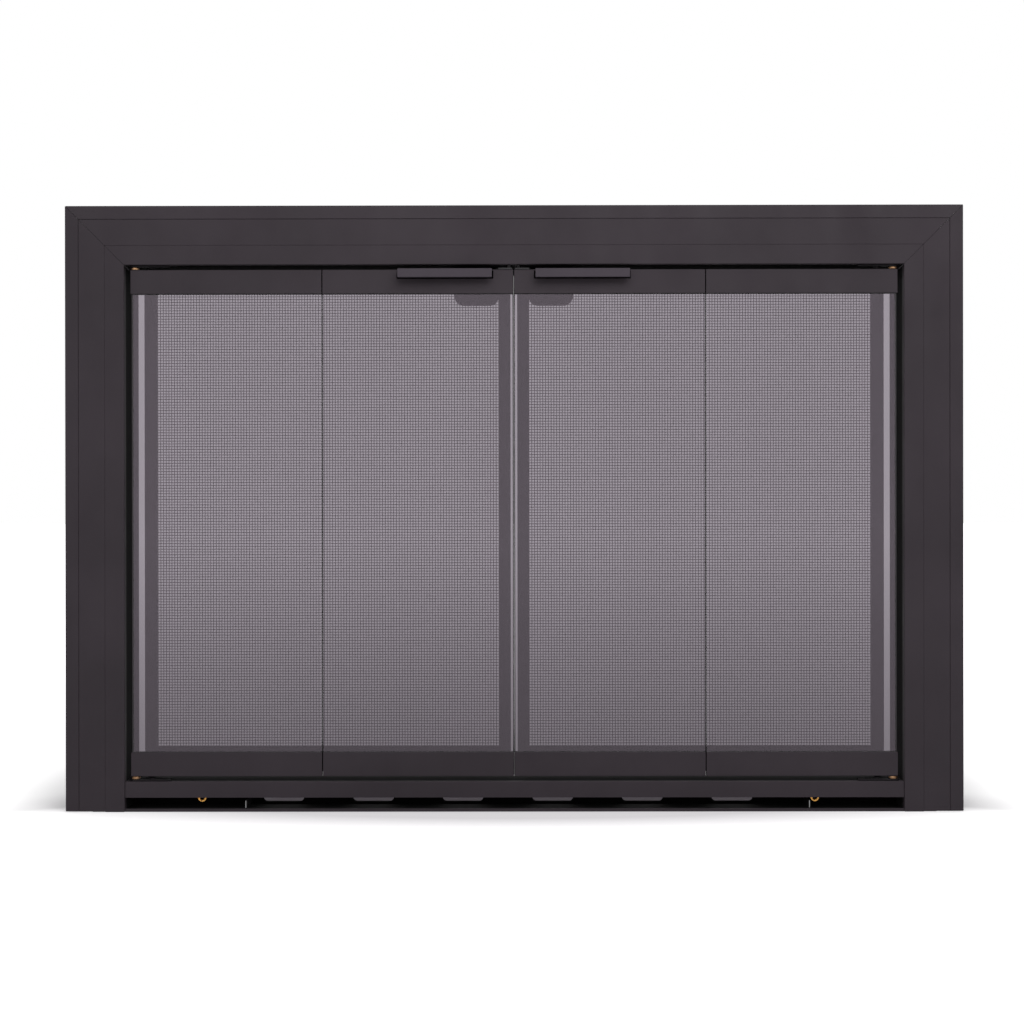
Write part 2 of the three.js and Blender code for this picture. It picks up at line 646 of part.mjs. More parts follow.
// Rail section in (y, h), with h measured from its glass-side edge.
const glassGroove = GLASS_THICKNESS + 2 * SEAT;
const grooveFront = PIVOT_Y - glassGroove / 2;
const grooveBack = PIVOT_Y + glassGroove / 2;
const chamberStart = GLASS_BITE + SEAT;
const railSection = [
  [LEAF_FRONT, 0],
  [LEAF_FRONT, RAIL_HEIGHT - EDGE_EASE],
  [LEAF_FRONT + EDGE_EASE, RAIL_HEIGHT],
  [LEAF_BACK - EDGE_EASE, RAIL_HEIGHT],
  [LEAF_BACK, RAIL_HEIGHT - EDGE_EASE],
  [LEAF_BACK, 0],
  [grooveBack, 0],
  [grooveBack, chamberStart],
  [CHAMBER_BACK, chamberStart],
  [CHAMBER_BACK, RAIL_HEIGHT - RAIL_WALL],
  [CHAMBER_FRONT, RAIL_HEIGHT - RAIL_WALL],
  [CHAMBER_FRONT, chamberStart],
  [grooveFront, chamberStart],
  [grooveFront, 0],
];

function topRail(x0, x1) {
  return alongX(shapeOf(railSection.map(([y, h]) => [y, LEAF_TOP - RAIL_HEIGHT + h])), x0, x1);
}

function bottomRail(x0, x1) {
  return alongX(shapeOf(railSection.map(([y, h]) => [y, LEAF_BOTTOM + RAIL_HEIGHT - h])), x0, x1);
}

// A pane with a small arris all round.
function pane(x0, x1) {
  const outline = shapeOf([[x0, GLASS_BOTTOM], [x1, GLASS_BOTTOM], [x1, GLASS_TOP], [x0, GLASS_TOP]]);
  const flat = GLASS_THICKNESS - 2 * GLASS_ARRIS;
  const glass = new THREE.ExtrudeGeometry(outline, {
    depth: flat,
    bevelThickness: GLASS_ARRIS,
    bevelSize: GLASS_ARRIS,
    bevelOffset: -GLASS_ARRIS,
    bevelSegments: 1,
  });
  return glass.rotateX(Math.PI / 2).translate(0, PIVOT_Y + flat / 2, 0);
}

const outerStart = FOLD_X + FOLD_GAP / 2;
const innerEnd = FOLD_X - FOLD_GAP / 2;
const bushHole = BUSH_RADIUS + SEAT;
const upperHole = rod(bushHole, PIVOT_X, PIVOT_Y, LEAF_TOP - RAIL_WALL - 1, LEAF_TOP + 1);
const lowerHole = rod(bushHole, PIVOT_X, PIVOT_Y, LEAF_BOTTOM - 1, LEAF_BOTTOM + RAIL_WALL + 1);
addPair(outerLeaves, 'outer_top_rail', cut(topRail(outerStart, LEAF_OUTER_END), upperHole), BLACK_PAINT);
addPair(outerLeaves, 'outer_bottom_rail', cut(bottomRail(outerStart, LEAF_OUTER_END), lowerHole), BLACK_PAINT);
addPair(outerLeaves, 'outer_glass', pane(outerStart, LEAF_OUTER_END - GLASS_END_INSET), SMOKED_GLASS);

// The inner top rail's front wall is notched where the handle comes through.
const handleEnd = HANDLE_INSET + HANDLE_LENGTH;
const handleNotch = block(
  HANDLE_INSET - NOTCH_MARGIN,
  handleEnd + NOTCH_MARGIN,
  LEAF_FRONT - 1,
  PIVOT_Y,
  LEAF_TOP - HANDLE_HEIGHT - SEAT,
  LEAF_TOP - RAIL_WALL,
);
addPair(innerLeaves, 'inner_top_rail', cut(topRail(LEAF_INNER_END, innerEnd), handleNotch), BLACK_PAINT);
addPair(innerLeaves, 'inner_bottom_rail', bottomRail(LEAF_INNER_END, innerEnd), BLACK_PAINT);
addPair(innerLeaves, 'inner_glass', pane(LEAF_INNER_END, innerEnd), SMOKED_GLASS);

// Pull handle: a web fixed inside the rail carries a finger plate in front of it.
const handleFront = LEAF_FRONT - HANDLE_REACH;
const handleTop = LEAF_TOP - SEAT;
const webTop = LEAF_TOP - RAIL_WALL - SEAT;
const pullHandle = alongX(shapeOf([
  [CHAMBER_BACK - SEAT, webTop],
  [handleFront + HANDLE_WALL, webTop],
  [handleFront + HANDLE_WALL, handleTop],
  [handleFront + EDGE_EASE, handleTop],
  [handleFront, handleTop - EDGE_EASE],
  [handleFront, handleTop - HANDLE_HEIGHT + EDGE_EASE],
  [handleFront + EDGE_EASE, handleTop - HANDLE_HEIGHT],
  [handleFront + HANDLE_WALL, handleTop - HANDLE_HEIGHT],
  [handleFront + HANDLE_WALL, webTop - HANDLE_WALL],
  [CHAMBER_BACK - SEAT, webTop - HANDLE_WALL],
]), HANDLE_INSET, handleEnd);
addPair(innerLeaves, 'handle', pullHandle, BLACK_PAINT);

// Guide shoe: sits on the inner leaf's top rail, its pin in the slot of the head.
const shoeStart = LEAF_INNER_END + 1;
const guideShoe = joined(
  block(
    shoeStart,
    shoeStart + SHOE_LENGTH,
    PIVOT_Y - SHOE_WIDTH / 2,
    PIVOT_Y + SHOE_WIDTH / 2,
    LEAF_TOP + SEAT,
    LEAF_TOP + SEAT + SHOE_HEIGHT,
  ),
  rod(GUIDE_PIN_RADIUS, GUIDE_X, PIVOT_Y, LEAF_TOP + 1, HEAD_LEG_TOP + GUIDE_PIN_RISE, 14),
);
addPair(innerLeaves, 'guide_shoe', guideShoe, SHOE_GREY);

// ---------------------------------------------------------------- pivots at the jambs

// A flanged bush about the pivot axis. Its flange spans z0 to z1, and direction says which way
// its sleeve goes from z0 into the rail.
function flangedBush(z0, z1, direction) {
  const sleeveEnd = z0 + direction * BUSH_LENGTH;
  const flange = rod(BUSH_FLANGE_RADIUS, 0, 0, Math.min(z0, z1), Math.max(z0, z1), 20);
  const sleeve = rod(BUSH_RADIUS, 0, 0, Math.min(z1, sleeveEnd), Math.max(z1, sleeveEnd), 20);
  const bore = rod(BUSH_BORE, 0, 0, Math.min(z1, sleeveEnd) - 1, Math.max(z1, sleeveEnd) + 1, 20);
  return cut(joined(flange, sleeve), bore);
}

// Pivot plate with its pin and a rivet head. plateZ is the side that lies on the frame, and
// direction the way towards the leaf.
function pivotBracket(plateZ, pinEnd, direction) {
  const face = plateZ + direction * PIVOT_PLATE_WALL;
  const plate = new THREE.Shape();
  plate.moveTo(-PIVOT_PLATE_LENGTH, -0.75 * PIVOT_PLATE_RADIUS);
  plate.lineTo(0, -PIVOT_PLATE_RADIUS);
  plate.absarc(0, 0, PIVOT_PLATE_RADIUS, -Math.PI / 2, Math.PI / 2, false);
  plate.lineTo(-PIVOT_PLATE_LENGTH, 0.75 * PIVOT_PLATE_RADIUS);
  const rivetEnd = face + direction * RIVET_HEIGHT;
  return joined(
    alongZ(plate, Math.min(plateZ, face), Math.max(plateZ, face), 5),
    rod(PIVOT_PIN_RADIUS, 0, 0, Math.min(plateZ, pinEnd), Math.max(plateZ, pinEnd)),
    rod(RIVET_RADIUS, -RIVET_INSET, 0, Math.min(plateZ, rivetEnd), Math.max(plateZ, rivetEnd)),
  );
}

const pivotAt = [PIVOT_X, PIVOT_Y, 0];
const upperPlate = OPENING_TOP - SEAT;
const lowerPlate = CHANNEL_HEIGHT + SEAT;
const upperFlange = [LEAF_TOP + SEAT, upperPlate - PIVOT_PLATE_WALL - SEAT];
const lowerFlange = [LEAF_BOTTOM - SEAT, lowerPlate + PIVOT_PLATE_WALL + SEAT];
const upperPinEnd = upperFlange[0] - BUSH_LENGTH;
const lowerPinEnd = lowerFlange[0] + BUSH_LENGTH;
addPair(frameSides, 'top_pivot', pivotBracket(upperPlate, upperPinEnd, -1), INNER_PAINT, pivotAt);
addPair(frameSides, 'bottom_pivot', pivotBracket(lowerPlate, lowerPinEnd, 1), INNER_PAINT, pivotAt);
addPair(outerLeaves, 'top_bush', flangedBush(...upperFlange, -1), BRASS, pivotAt);
addPair(outerLeaves, 'bottom_bush', flangedBush(...lowerFlange, 1), BRASS, pivotAt);

// ---------------------------------------------------------------- fold hinges

// Hinges are drawn about their own axis, from z = 0 up. The outer plate carries the two end
// knuckles and the inner plate the middle one. The plates lie against the backs of the rails.
const plateFront = -KNUCKLE_RADIUS;
const plateBack = plateFront + HINGE_WALL;
const plateStart = KNUCKLE_RADIUS + SEAT;
const hingeBore = HINGE_PIN_RADIUS + SEAT;
const middleStart = END_KNUCKLE + SEAT;
const middleEnd = HINGE_HEIGHT - END_KNUCKLE - SEAT;

function knuckle(side, z0, z1) {
  const tabEnd = side * (plateStart + HINGE_WALL);
  return [
    rod(KNUCKLE_RADIUS, 0, 0, z0, z1),
    block(Math.min(0, tabEnd), Math.max(0, tabEnd), plateFront, plateBack, z0, z1),
  ];
}

function hingeHalf(side, knuckles) {
  const x0 = Math.min(side * plateStart, side * HINGE_WIDTH);
  const x1 = Math.max(side * plateStart, side * HINGE_WIDTH);
  const plate = block(x0, x1, plateFront, plateBack, 0, HINGE_HEIGHT);
  const rolled = knuckles.flatMap(([z0, z1]) => knuckle(side, z0, z1));
  return cut(joined(plate, ...rolled), rod(hingeBore, 0, 0, -1, HINGE_HEIGHT + 1, 12));
}

const outerHinge = hingeHalf(1, [[0, END_KNUCKLE], [HINGE_HEIGHT - END_KNUCKLE, HINGE_HEIGHT]]);
const innerHinge = hingeHalf(-1, [[middleStart, middleEnd]]);
const hingePin = rod(HINGE_PIN_RADIUS, 0, 0, -HINGE_WALL / 2, HINGE_HEIGHT + HINGE_WALL / 2, 12);
const hingeHeights = {
  upper: LEAF_TOP - RAIL_HEIGHT - HINGE_PROUD,
  lower: LEAF_BOTTOM + RAIL_HEIGHT + HINGE_PROUD - HINGE_HEIGHT,
};
for (const [level, z] of Object.entries(hingeHeights)) {
  const place = [FOLD_X, FOLD_Y, z];
  addPair(outerLeaves, `${level}_hinge_outer`, outerHinge.clone(), INNER_PAINT, place);
  addPair(innerLeaves, `${level}_hinge_inner`, innerHinge.clone(), INNER_PAINT, place);
  addPair(innerLeaves, `${level}_hinge_pin`, hingePin.clone(), ZINC, place);
}

// ---------------------------------------------------------------- mesh gates

// Gate frame: an angle section all round, its flange to the back, with a pin at the top and a
// collared pin at the bottom, on which the gate stands.
const windowLeft = GATE_INNER + GATE_INNER_STILE;
const windowRight = GATE_OUTER - GATE_STILE;
const windowBottom = GATE_BOTTOM + GATE_BOTTOM_RAIL;
const windowTop = GATE_TOP - GATE_TOP_RAIL;
const pocketFront = GATE_FRONT + GATE_WALL;
const gateFrame = joined(
  cut(
    block(GATE_INNER, GATE_OUTER, GATE_FRONT, GATE_BACK, GATE_BOTTOM, GATE_TOP),
    block(windowLeft, windowRight, GATE_FRONT - 1, GATE_BACK + 1, windowBottom, windowTop),
    block(
      GATE_INNER + GATE_WALL,
      GATE_OUTER - GATE_WALL,
      pocketFront,
      GATE_BACK + 1,
      GATE_BOTTOM + GATE_WALL,
      GATE_TOP - GATE_WALL,
    ),
  ),
  rod(GATE_PIN_RADIUS, GATE_PIN_X, GATE_PIN_Y, GATE_TOP - GATE_WALL / 2, HEAD_LEG_TOP + GATE_PIN_RISE),
  rod(GATE_COLLAR_RADIUS, GATE_PIN_X, GATE_PIN_Y, CHANNEL_HEIGHT + SEAT, GATE_BOTTOM + GATE_WALL / 2),
  rod(
    GATE_PIN_RADIUS,
    GATE_PIN_X,
    GATE_PIN_Y,
    CHANNEL_HEIGHT - CHANNEL_WALL - GATE_PIN_RISE,
    GATE_BOTTOM,
  ),
);
addPair(gates, 'gate_frame', gateFrame, MESH_BLACK);

// Wire net in the gate frame's pocket: a border under the frame's face and a grid of wires.
function netGrid() {
  const inset = GATE_WALL + SEAT;
  const netFront = pocketFront + SEAT;
  const netBack = netFront + NET_WIRE;
  const sheet = block(
    GATE_INNER + inset, GATE_OUTER - inset, netFront, netBack, GATE_BOTTOM + inset, GATE_TOP - inset,
  );
  const columns = Math.floor((windowRight - windowLeft) / NET_PITCH);
  const rows = Math.floor((windowTop - windowBottom) / NET_PITCH);
  const cellWidth = (windowRight - windowLeft) / columns;
  const cellHeight = (windowTop - windowBottom) / rows;
  const gaps = [];
  for (let column = 0; column < columns; column += 1) {
    for (let row = 0; row < rows; row += 1) {
      const left = windowLeft + column * cellWidth + NET_WIRE / 2;
      const bottom = windowBottom + row * cellHeight + NET_WIRE / 2;
      const right = left + cellWidth - NET_WIRE;
      const top = bottom + cellHeight - NET_WIRE;
      gaps.push(block(left, right, netFront - 1, netBack + 1, bottom, top));
    }
  }
  return cut(sheet, ...gaps);
}
addPair(gates, 'gate_net', netGrid(), MESH_BLACK);

// ---------------------------------------------------------------- catch plates

// Each hangs from the head's leg by a flange, just in front of a gate's top inner corner.
const catchBack = GATE_FRONT - SEAT;
const catchFront = catchBack - CATCH_WALL;
const catchTop = OPENING_TOP - SEAT;
const catchBottom = OPENING_TOP - CATCH_DROP;
const catchOutline = new THREE.Shape();
catchOutline.moveTo(CATCH_INSET, catchTop);
catchOutline.lineTo(CATCH_INSET, catchBottom + CATCH_RADIUS);
catchOutline.absarc(
  CATCH_INSET + CATCH_RADIUS, catchBottom + CATCH_RADIUS, CATCH_RADIUS, Math.PI, 1.5 * Math.PI, false,
);
catchOutline.lineTo(CATCH_INSET + CATCH_WIDTH - CATCH_RADIUS, catchBottom);
catchOutline.absarc(
  CATCH_INSET + CATCH_WIDTH - CATCH_RADIUS, catchBottom + CATCH_RADIUS, CATCH_RADIUS,
  1.5 * Math.PI, 2 * Math.PI, false,
);
catchOutline.lineTo(CATCH_INSET + CATCH_WIDTH, catchTop);
const catchPlate = joined(
  alongY(catchOutline, catchFront, catchBack),
  block(
    CATCH_INSET, CATCH_INSET + CATCH_WIDTH, catchBack - CATCH_FLANGE, catchBack,
    catchTop - CATCH_WALL, catchTop,
  ),
);
addPair(frameSides, 'catch_plate', catchPlate, INNER_PAINT);

export default door;
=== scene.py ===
"""Looks of a fireplace glass door: a satin black surround, two pairs of bi-fold glass doors,
two woven wire mesh gates behind them and a sliding draft damper below.

x runs to the right, y to the back and z up. Lengths are in metres, and in mm where small pieces
are made."""

import json
import math

import bmesh
import bpy
import numpy as np
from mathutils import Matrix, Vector

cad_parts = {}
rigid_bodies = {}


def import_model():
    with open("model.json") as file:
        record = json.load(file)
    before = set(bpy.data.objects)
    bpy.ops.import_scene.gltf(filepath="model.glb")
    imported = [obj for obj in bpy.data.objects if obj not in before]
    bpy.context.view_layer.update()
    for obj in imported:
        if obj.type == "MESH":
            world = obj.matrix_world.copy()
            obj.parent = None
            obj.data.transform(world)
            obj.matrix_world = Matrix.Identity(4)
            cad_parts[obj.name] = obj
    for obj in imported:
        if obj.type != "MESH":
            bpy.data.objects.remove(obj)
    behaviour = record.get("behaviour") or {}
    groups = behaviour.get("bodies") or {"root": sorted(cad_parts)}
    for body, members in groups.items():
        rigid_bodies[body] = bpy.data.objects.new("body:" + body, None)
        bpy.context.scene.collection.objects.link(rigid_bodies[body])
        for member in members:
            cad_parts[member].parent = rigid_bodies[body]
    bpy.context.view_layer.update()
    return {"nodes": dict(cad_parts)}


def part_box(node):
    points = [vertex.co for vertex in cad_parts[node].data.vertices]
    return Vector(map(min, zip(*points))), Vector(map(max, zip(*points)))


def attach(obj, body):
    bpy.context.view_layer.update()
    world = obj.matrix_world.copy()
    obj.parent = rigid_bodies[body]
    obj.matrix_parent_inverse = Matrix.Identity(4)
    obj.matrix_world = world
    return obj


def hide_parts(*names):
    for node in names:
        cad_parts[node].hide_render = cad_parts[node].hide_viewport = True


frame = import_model()

MM = 0.001
SIDES = (("left", -1), ("right", 1))


# ---------------------------------------------------------------------------------------------
# Colours and materials
# ---------------------------------------------------------------------------------------------

def linear(red, green, blue):
    """The linear colour of a display colour written in 0 to 255."""
    channels = [c / 255 for c in (red, green, blue)]
    curve = [c / 12.92 if c <= 0.04045 else ((c + 0.055) / 1.055) ** 2.4 for c in channels]
    return (*curve, 1.0)


def shaded(colour, factor):
    """A colour made darker or lighter by a factor, and never brighter than full."""
    return [min(1.0, channel * factor) for channel in colour[:3]] + [1.0]


WHITE = (1, 1, 1, 1)
EDGE_WEAR = 0.3 * MM
PEEL = 0.6 * MM  # grain of the sprayed paint
# painted shade: the paint turns this dark deep inside the frame, where gaps and recesses lie in
# shade
PAINTED_SHADE_COLOUR = linear(12, 10, 12)
PAINTED_SHADE_DEPTH = (-43.6 * MM, -38 * MM)  # from just behind the rails' fronts
GLASS_TINT = (0.27, 0.245, 0.275, 1.0)
GLASS_SHEEN = (1.0, 0.87, 1.0, 1.0)
GLASS_IOR = 1.8  # reflects as much as the photo's coated pane does


class Shader:
    """A new material's node tree, with short calls for the nodes that the finishes share."""

    def __init__(self, name):
        self.material = bpy.data.materials.new(name)
        self.material.use_nodes = True
        self.tree = self.material.node_tree
        self.surface = self.tree.nodes["Principled BSDF"]
        self.place = self.node("ShaderNodeTexCoord").outputs["Object"]

    def node(self, kind, **settings):
        made = self.tree.nodes.new(kind)
        for key, value in settings.items():
            setattr(made, key, value)
        return made

    def link(self, source, target):
        self.tree.links.new(source, target)

    def put(self, socket, value):
        """Links an output to a socket, or sets the socket's own value."""
        if isinstance(value, bpy.types.NodeSocket):
            self.link(value, socket)
        else:
            socket.default_value = value

    def set(self, **values):
        """Sets the surface shader's sockets: base_color=... sets Base Color."""
        for key, value in values.items():
            socket = key.replace("_", " ").title().replace("Ior", "IOR")
            self.put(self.surface.inputs[socket], value)

    def noise(self, size, detail=3.0, stretch=(1, 1, 1)):
        """Noise from 0 to 1 with blotches of about that size in metres, drawn out along an axis."""
        mapping = self.node("ShaderNodeMapping")
        mapping.inputs["Scale"].default_value = [1 / (size * s) for s in stretch]
        self.link(self.place, mapping.inputs["Vector"])
        noise = self.node("ShaderNodeTexNoise")
        noise.inputs["Scale"].default_value = 1.0
        noise.inputs["Detail"].default_value = detail
        self.link(mapping.outputs["Vector"], noise.inputs["Vector"])
        return noise.outputs["Fac"]

    def ramp(self, value, low, high, to_low=0.0, to_high=1.0):
        """A value mapped from low..high to to_low..to_high, held at its ends."""
        node = self.node("ShaderNodeMapRange")
        ends = {"From Min": low, "From Max": high, "To Min": to_low, "To Max": to_high}
        for key, number in ends.items():
            node.inputs[key].default_value = number
        self.put(node.inputs["Value"], value)
        return node.outputs["Result"]

    def math(self, operation, first, second=0.0):
        node = self.node("ShaderNodeMath", operation=operation)
        self.put(node.inputs[0], first)
        self.put(node.inputs[1], second)
        return node.outputs[0]

    def parts(self, vector):
        """The X, Y and Z outputs of a vector."""
        node = self.node("ShaderNodeSeparateXYZ")
        self.link(vector, node.inputs["Vector"])
        return node.outputs

    def length(self, vector):
        node = self.node("ShaderNodeVectorMath", operation="LENGTH")
        self.link(vector, node.inputs[0])
        return node.outputs["Value"]

    def mix(self, factor, first, second):
        """A colour mixed from two by a factor."""
        node = self.node("ShaderNodeMix", data_type="RGBA")
        colours = [socket for socket in node.inputs if socket.type == "RGBA"]
        self.put(node.inputs["Factor"], factor)
        self.put(colours[0], first)
        self.put(colours[1], second)
        return next(socket for socket in node.outputs if socket.type == "RGBA")

    def swap(self, ray, shown, other):
        """Shows another shader instead to one kind of ray."""
        both = self.node("ShaderNodeMixShader")
        self.link(self.node("ShaderNodeLightPath").outputs[ray], both.inputs["Fac"])
        self.link(shown, both.inputs[1])
        self.link(other, both.inputs[2])
        return both.outputs["Shader"]

    def show(self, shown):
        """Sends a shader to the material's output."""
        self.link(shown, self.tree.nodes["Material Output"].inputs["Surface"])

    def edges(self, radius):
        """0 on faces and up to 1 along outer edges, where a finish wears."""
        rounded_off = self.node("ShaderNodeBevel", samples=4)
        rounded_off.inputs["Radius"].default_value = radius
        true = self.node("ShaderNodeNewGeometry").outputs["Normal"]
        across = self.node("ShaderNodeVectorMath", operation="DOT_PRODUCT")
        self.link(rounded_off.outputs["Normal"], across.inputs[0])
        self.link(true, across.inputs[1])
        return self.ramp(across.outputs["Value"], 0.995, 0.85)

    def bump(self, height, strength, distance):
        node = self.node("ShaderNodeBump")
        node.inputs["Strength"].default_value = strength
        node.inputs["Distance"].default_value = distance
        self.link(height, node.inputs["Height"])
        self.set(normal=node.outputs["Normal"])


def powder_coat(name, colour, worn, shine, rough):
    """Satin paint: faint blotches, orange peel, painted shade deep in the frame and a rub along
    edges.
    """
    s = Shader(name)
    colour, worn = linear(*colour), linear(*worn)
    blotches = s.ramp(s.noise(110 * MM), 0.35, 0.65)
    paint = s.mix(blotches, shaded(colour, 0.9), shaded(colour, 1.1))
    speckle = s.ramp(s.noise(PEEL, detail=2.0), 0.5, 0.9, 0.0, 0.12)
    paint = s.mix(speckle, paint, worn)
    patches = s.ramp(s.noise(14 * MM), 0.35, 0.65, 0.1, 0.6)
    rub = s.math("MULTIPLY", s.edges(EDGE_WEAR), patches)
    coat = s.mix(rub, paint, worn)
    smear = s.ramp(s.noise(35 * MM, stretch=(1, 1, 2)), 0.3, 0.7, *rough)
    smear = s.math("SUBTRACT", smear, s.math("MULTIPLY", rub, 0.1))
    # painted shade: darker and rougher paint behind the rails' fronts, where the frame lies in
    # shade
    painted_shade = s.ramp(s.parts(s.place)["Y"], *PAINTED_SHADE_DEPTH)
    s.set(base_color=s.mix(painted_shade, coat, PAINTED_SHADE_COLOUR), specular_ior_level=shine)
    s.set(roughness=s.math("MAXIMUM", smear, painted_shade))
    s.bump(s.noise(PEEL, detail=2.0), 0.12, 0.05 * MM)
    return s.material


def plated(name, colour, tarnish, rough, stretch):
    """Bare or plated metal: darker blotches, fine drawing marks and bright edges."""
    s = Shader(name)
    colour, tarnish = linear(*colour), linear(*tarnish)
    tone = s.mix(s.ramp(s.noise(6 * MM), 0.4, 0.7), colour, tarnish)
    polish = s.math("MULTIPLY", s.edges(EDGE_WEAR), 0.6)
    s.set(base_color=s.mix(polish, tone, shaded(colour, 1.25)), metallic=1.0)
    s.set(roughness=s.ramp(s.noise(2.5 * MM, stretch=stretch), 0.3, 0.7, *rough))
    s.bump(s.noise(0.5 * MM, stretch=stretch), 0.12, 0.03 * MM)
    return s.material


def smoked_glass():
    """Grey tempered glass: tinted, with a faint wave of the rollers and a little haze."""
    s = Shader("smoked_glass")
    haze = s.ramp(s.noise(120 * MM, stretch=(1, 1, 2.5)), 0.3, 0.7)
    tint = s.mix(haze, GLASS_TINT, shaded(GLASS_TINT, 1.05))
    s.set(base_color=tint, transmission_weight=1.0, ior=GLASS_IOR, specular_tint=GLASS_SHEEN)
    s.set(roughness=s.ramp(s.noise(60 * MM), 0.3, 0.7, 0.0, 0.03))
    s.bump(s.noise(180 * MM, detail=1.0, stretch=(1, 1, 0.3)), 0.02, 0.2 * MM)
    clear = s.node("ShaderNodeBsdfTransparent")
    s.put(clear.inputs["Color"], tint)
    s.show(s.swap("Is Shadow Ray", s.surface.outputs["BSDF"], clear.outputs["BSDF"]))
    return s.material


def moulded(name, colour):
    """Moulded nylon or rubber: a soft mottle and a fine grain."""
    s = Shader(name)
    colour = linear(*colour)
    mottle = s.ramp(s.noise(5 * MM), 0.3, 0.7)
    s.set(base_color=s.mix(mottle, colour, shaded(colour, 1.3)), specular_ior_level=0.4)
    s.set(roughness=s.ramp(s.noise(3 * MM), 0.3, 0.7, 0.45, 0.62))
    s.bump(s.noise(0.6 * MM), 0.25, 0.05 * MM)
    return s.material


# paint, paint that is rubbed, specular level, roughness from and to
PAINTS = {
    "frame_black": ((48, 42, 47), (80, 74, 79), 0.2, (0.58, 0.7)),
    # painted highlight: the frame's paint, lighter on the handles because they stand forward and
    # catch more light
    "handle_black": ((60, 54, 61), (90, 84, 90), 0.2, (0.58, 0.7)),
    "inner_black": ((22, 19, 22), (52, 48, 52), 0.15, (0.65, 0.78)),
    "mesh_black": ((30, 26, 32), (70, 66, 72), 0.2, (0.55, 0.7)),
}
# metal, tarnished metal, roughness from and to, how far its marks are drawn out
METALS = {
    "brass": ((240, 184, 104), (214, 152, 76), (0.2, 0.32), (1, 1, 1)),
    "bronze": ((176, 140, 108), (120, 92, 68), (0.45, 0.6), (1, 1, 1)),
    "zinc": ((150, 150, 153), (112, 110, 104), (0.3, 0.5), (1, 1, 3)),
}
FINISH = {
    **{name: powder_coat(name, *look) for name, look in PAINTS.items()},
    **{name: plated(name, *look) for name, look in METALS.items()},
    "smoked_glass": smoked_glass(),
    "shoe_grey": moulded("shoe_grey", (30, 27, 30)),
}

# a word in a CAD node's name, and its finish; the first that fits counts
FINISH_OF_WORD = {
    "glass": "smoked_glass",
    "bush": "bronze",
    "handle": "handle_black",
    "damper_stop": "brass",
    "hinge_pin": "zinc",
    "guide_shoe": "shoe_grey",
    "gate": "mesh_black",
    "catch_plate": "mesh_black",
    "corner_key": "zinc",
    "clamp": "zinc",
    "pivot": "inner_black",
    "hinge": "inner_black",
    "damper": "inner_black",
    "floor_bracket": "inner_black",
}
FRAME_FINISH = "frame_black"


# ---------------------------------------------------------------------------------------------
# CAD nodes: welded, with rounded edges
# ---------------------------------------------------------------------------------------------

WELD_DISTANCE = 0.01 * MM
FLAT_ANGLE = math.radians(0.5)
SMOOTH_ANGLE = math.radians(31)
BEVEL_STEPS = 2
FRAME_EDGE = 0.2 * MM
SMALL_NODE_EDGE = 0.3 * MM


def smoothing_group():
    """A geometry node group that shades faces smooth and keeps edges past an angle sharp."""
    group = bpy.data.node_groups.new("smooth_by_angle", "GeometryNodeTree")
    for direction in ("INPUT", "OUTPUT"):
        group.interface.new_socket("Geometry", in_out=direction, socket_type="NodeSocketGeometry")
    start = group.nodes.new("NodeGroupInput")
    end = group.nodes.new("NodeGroupOutput")
    faces = group.nodes.new("GeometryNodeSetShadeSmooth")
    edges = group.nodes.new("GeometryNodeSetShadeSmooth")
    edges.domain = "EDGE"
    angle = group.nodes.new("GeometryNodeInputMeshEdgeAngle")
    flat_enough = group.nodes.new("FunctionNodeCompare")
    flat_enough.operation = "LESS_THAN"
    flat_enough.inputs["B"].default_value = SMOOTH_ANGLE
    group.links.new(angle.outputs["Unsigned Angle"], flat_enough.inputs["A"])
    group.links.new(start.outputs[0], faces.inputs["Geometry"])
    group.links.new(faces.outputs["Geometry"], edges.inputs["Geometry"])
    group.links.new(flat_enough.outputs["Result"], edges.inputs["Shade Smooth"])
    group.links.new(edges.outputs["Geometry"], end.inputs[0])
    return group


SMOOTHING = smoothing_group()


def soften(obj, width):
    """Welds a faceted solid, shades its round faces smooth and rounds its sharp edges."""
    weld = obj.modifiers.new("weld", "WELD")
    weld.merge_threshold = WELD_DISTANCE
    merge = obj.modifiers.new("flat_faces", "DECIMATE")
    merge.decimate_type = "DISSOLVE"
    merge.angle_limit = FLAT_ANGLE
    smooth = obj.modifiers.new("smooth", "NODES")
    smooth.node_group = SMOOTHING
    bevel = obj.modifiers.new("rounded_edges", "BEVEL")
    bevel.width = width
    bevel.segments = BEVEL_STEPS
    bevel.limit_method = "ANGLE"
    bevel.angle_limit = SMOOTH_ANGLE
    bevel.harden_normals = True


def dress_nodes():
    """Gives every CAD node its finish and its edge radius."""
    for node, obj in frame["nodes"].items():
        words = (finish for word, finish in FINISH_OF_WORD.items() if word in node)
        finish = next(words, FRAME_FINISH)
        obj.data.materials.clear()
        obj.data.materials.append(FINISH[finish])
        soften(obj, FRAME_EDGE if finish == FRAME_FINISH else SMALL_NODE_EDGE)


# ---------------------------------------------------------------------------------------------
# Woven wire mesh
# ---------------------------------------------------------------------------------------------

WIRE_RADIUS = 0.4 * MM
WIRE_SIDES = 4
MESH_PITCH = 3.2 * MM
WEAVE_LIFT = 0.43 * MM
NET_HIDDEN_X = (10.3 * MM, 11.8 * MM)  # net inside the gate's stiles: centre side, pivot side
NET_HIDDEN_Z = (22.5 * MM, 17 * MM)  # net inside the gate's rails: below, above
TUCK = 1.2 * MM  # how far the wires run into the gate's frame


def mesh_object(name, vertices, faces, material):
    """A smooth-shaded mesh object from arrays of points and of quads."""
    mesh = bpy.data.meshes.new(name)
    mesh.from_pydata(vertices.tolist(), [], faces.tolist())
    mesh.polygons.foreach_set("use_smooth", np.ones(len(mesh.polygons), bool))
    mesh.materials.append(material)
    obj = bpy.data.objects.new(name, mesh)
    bpy.context.scene.collection.objects.link(obj)
    return obj


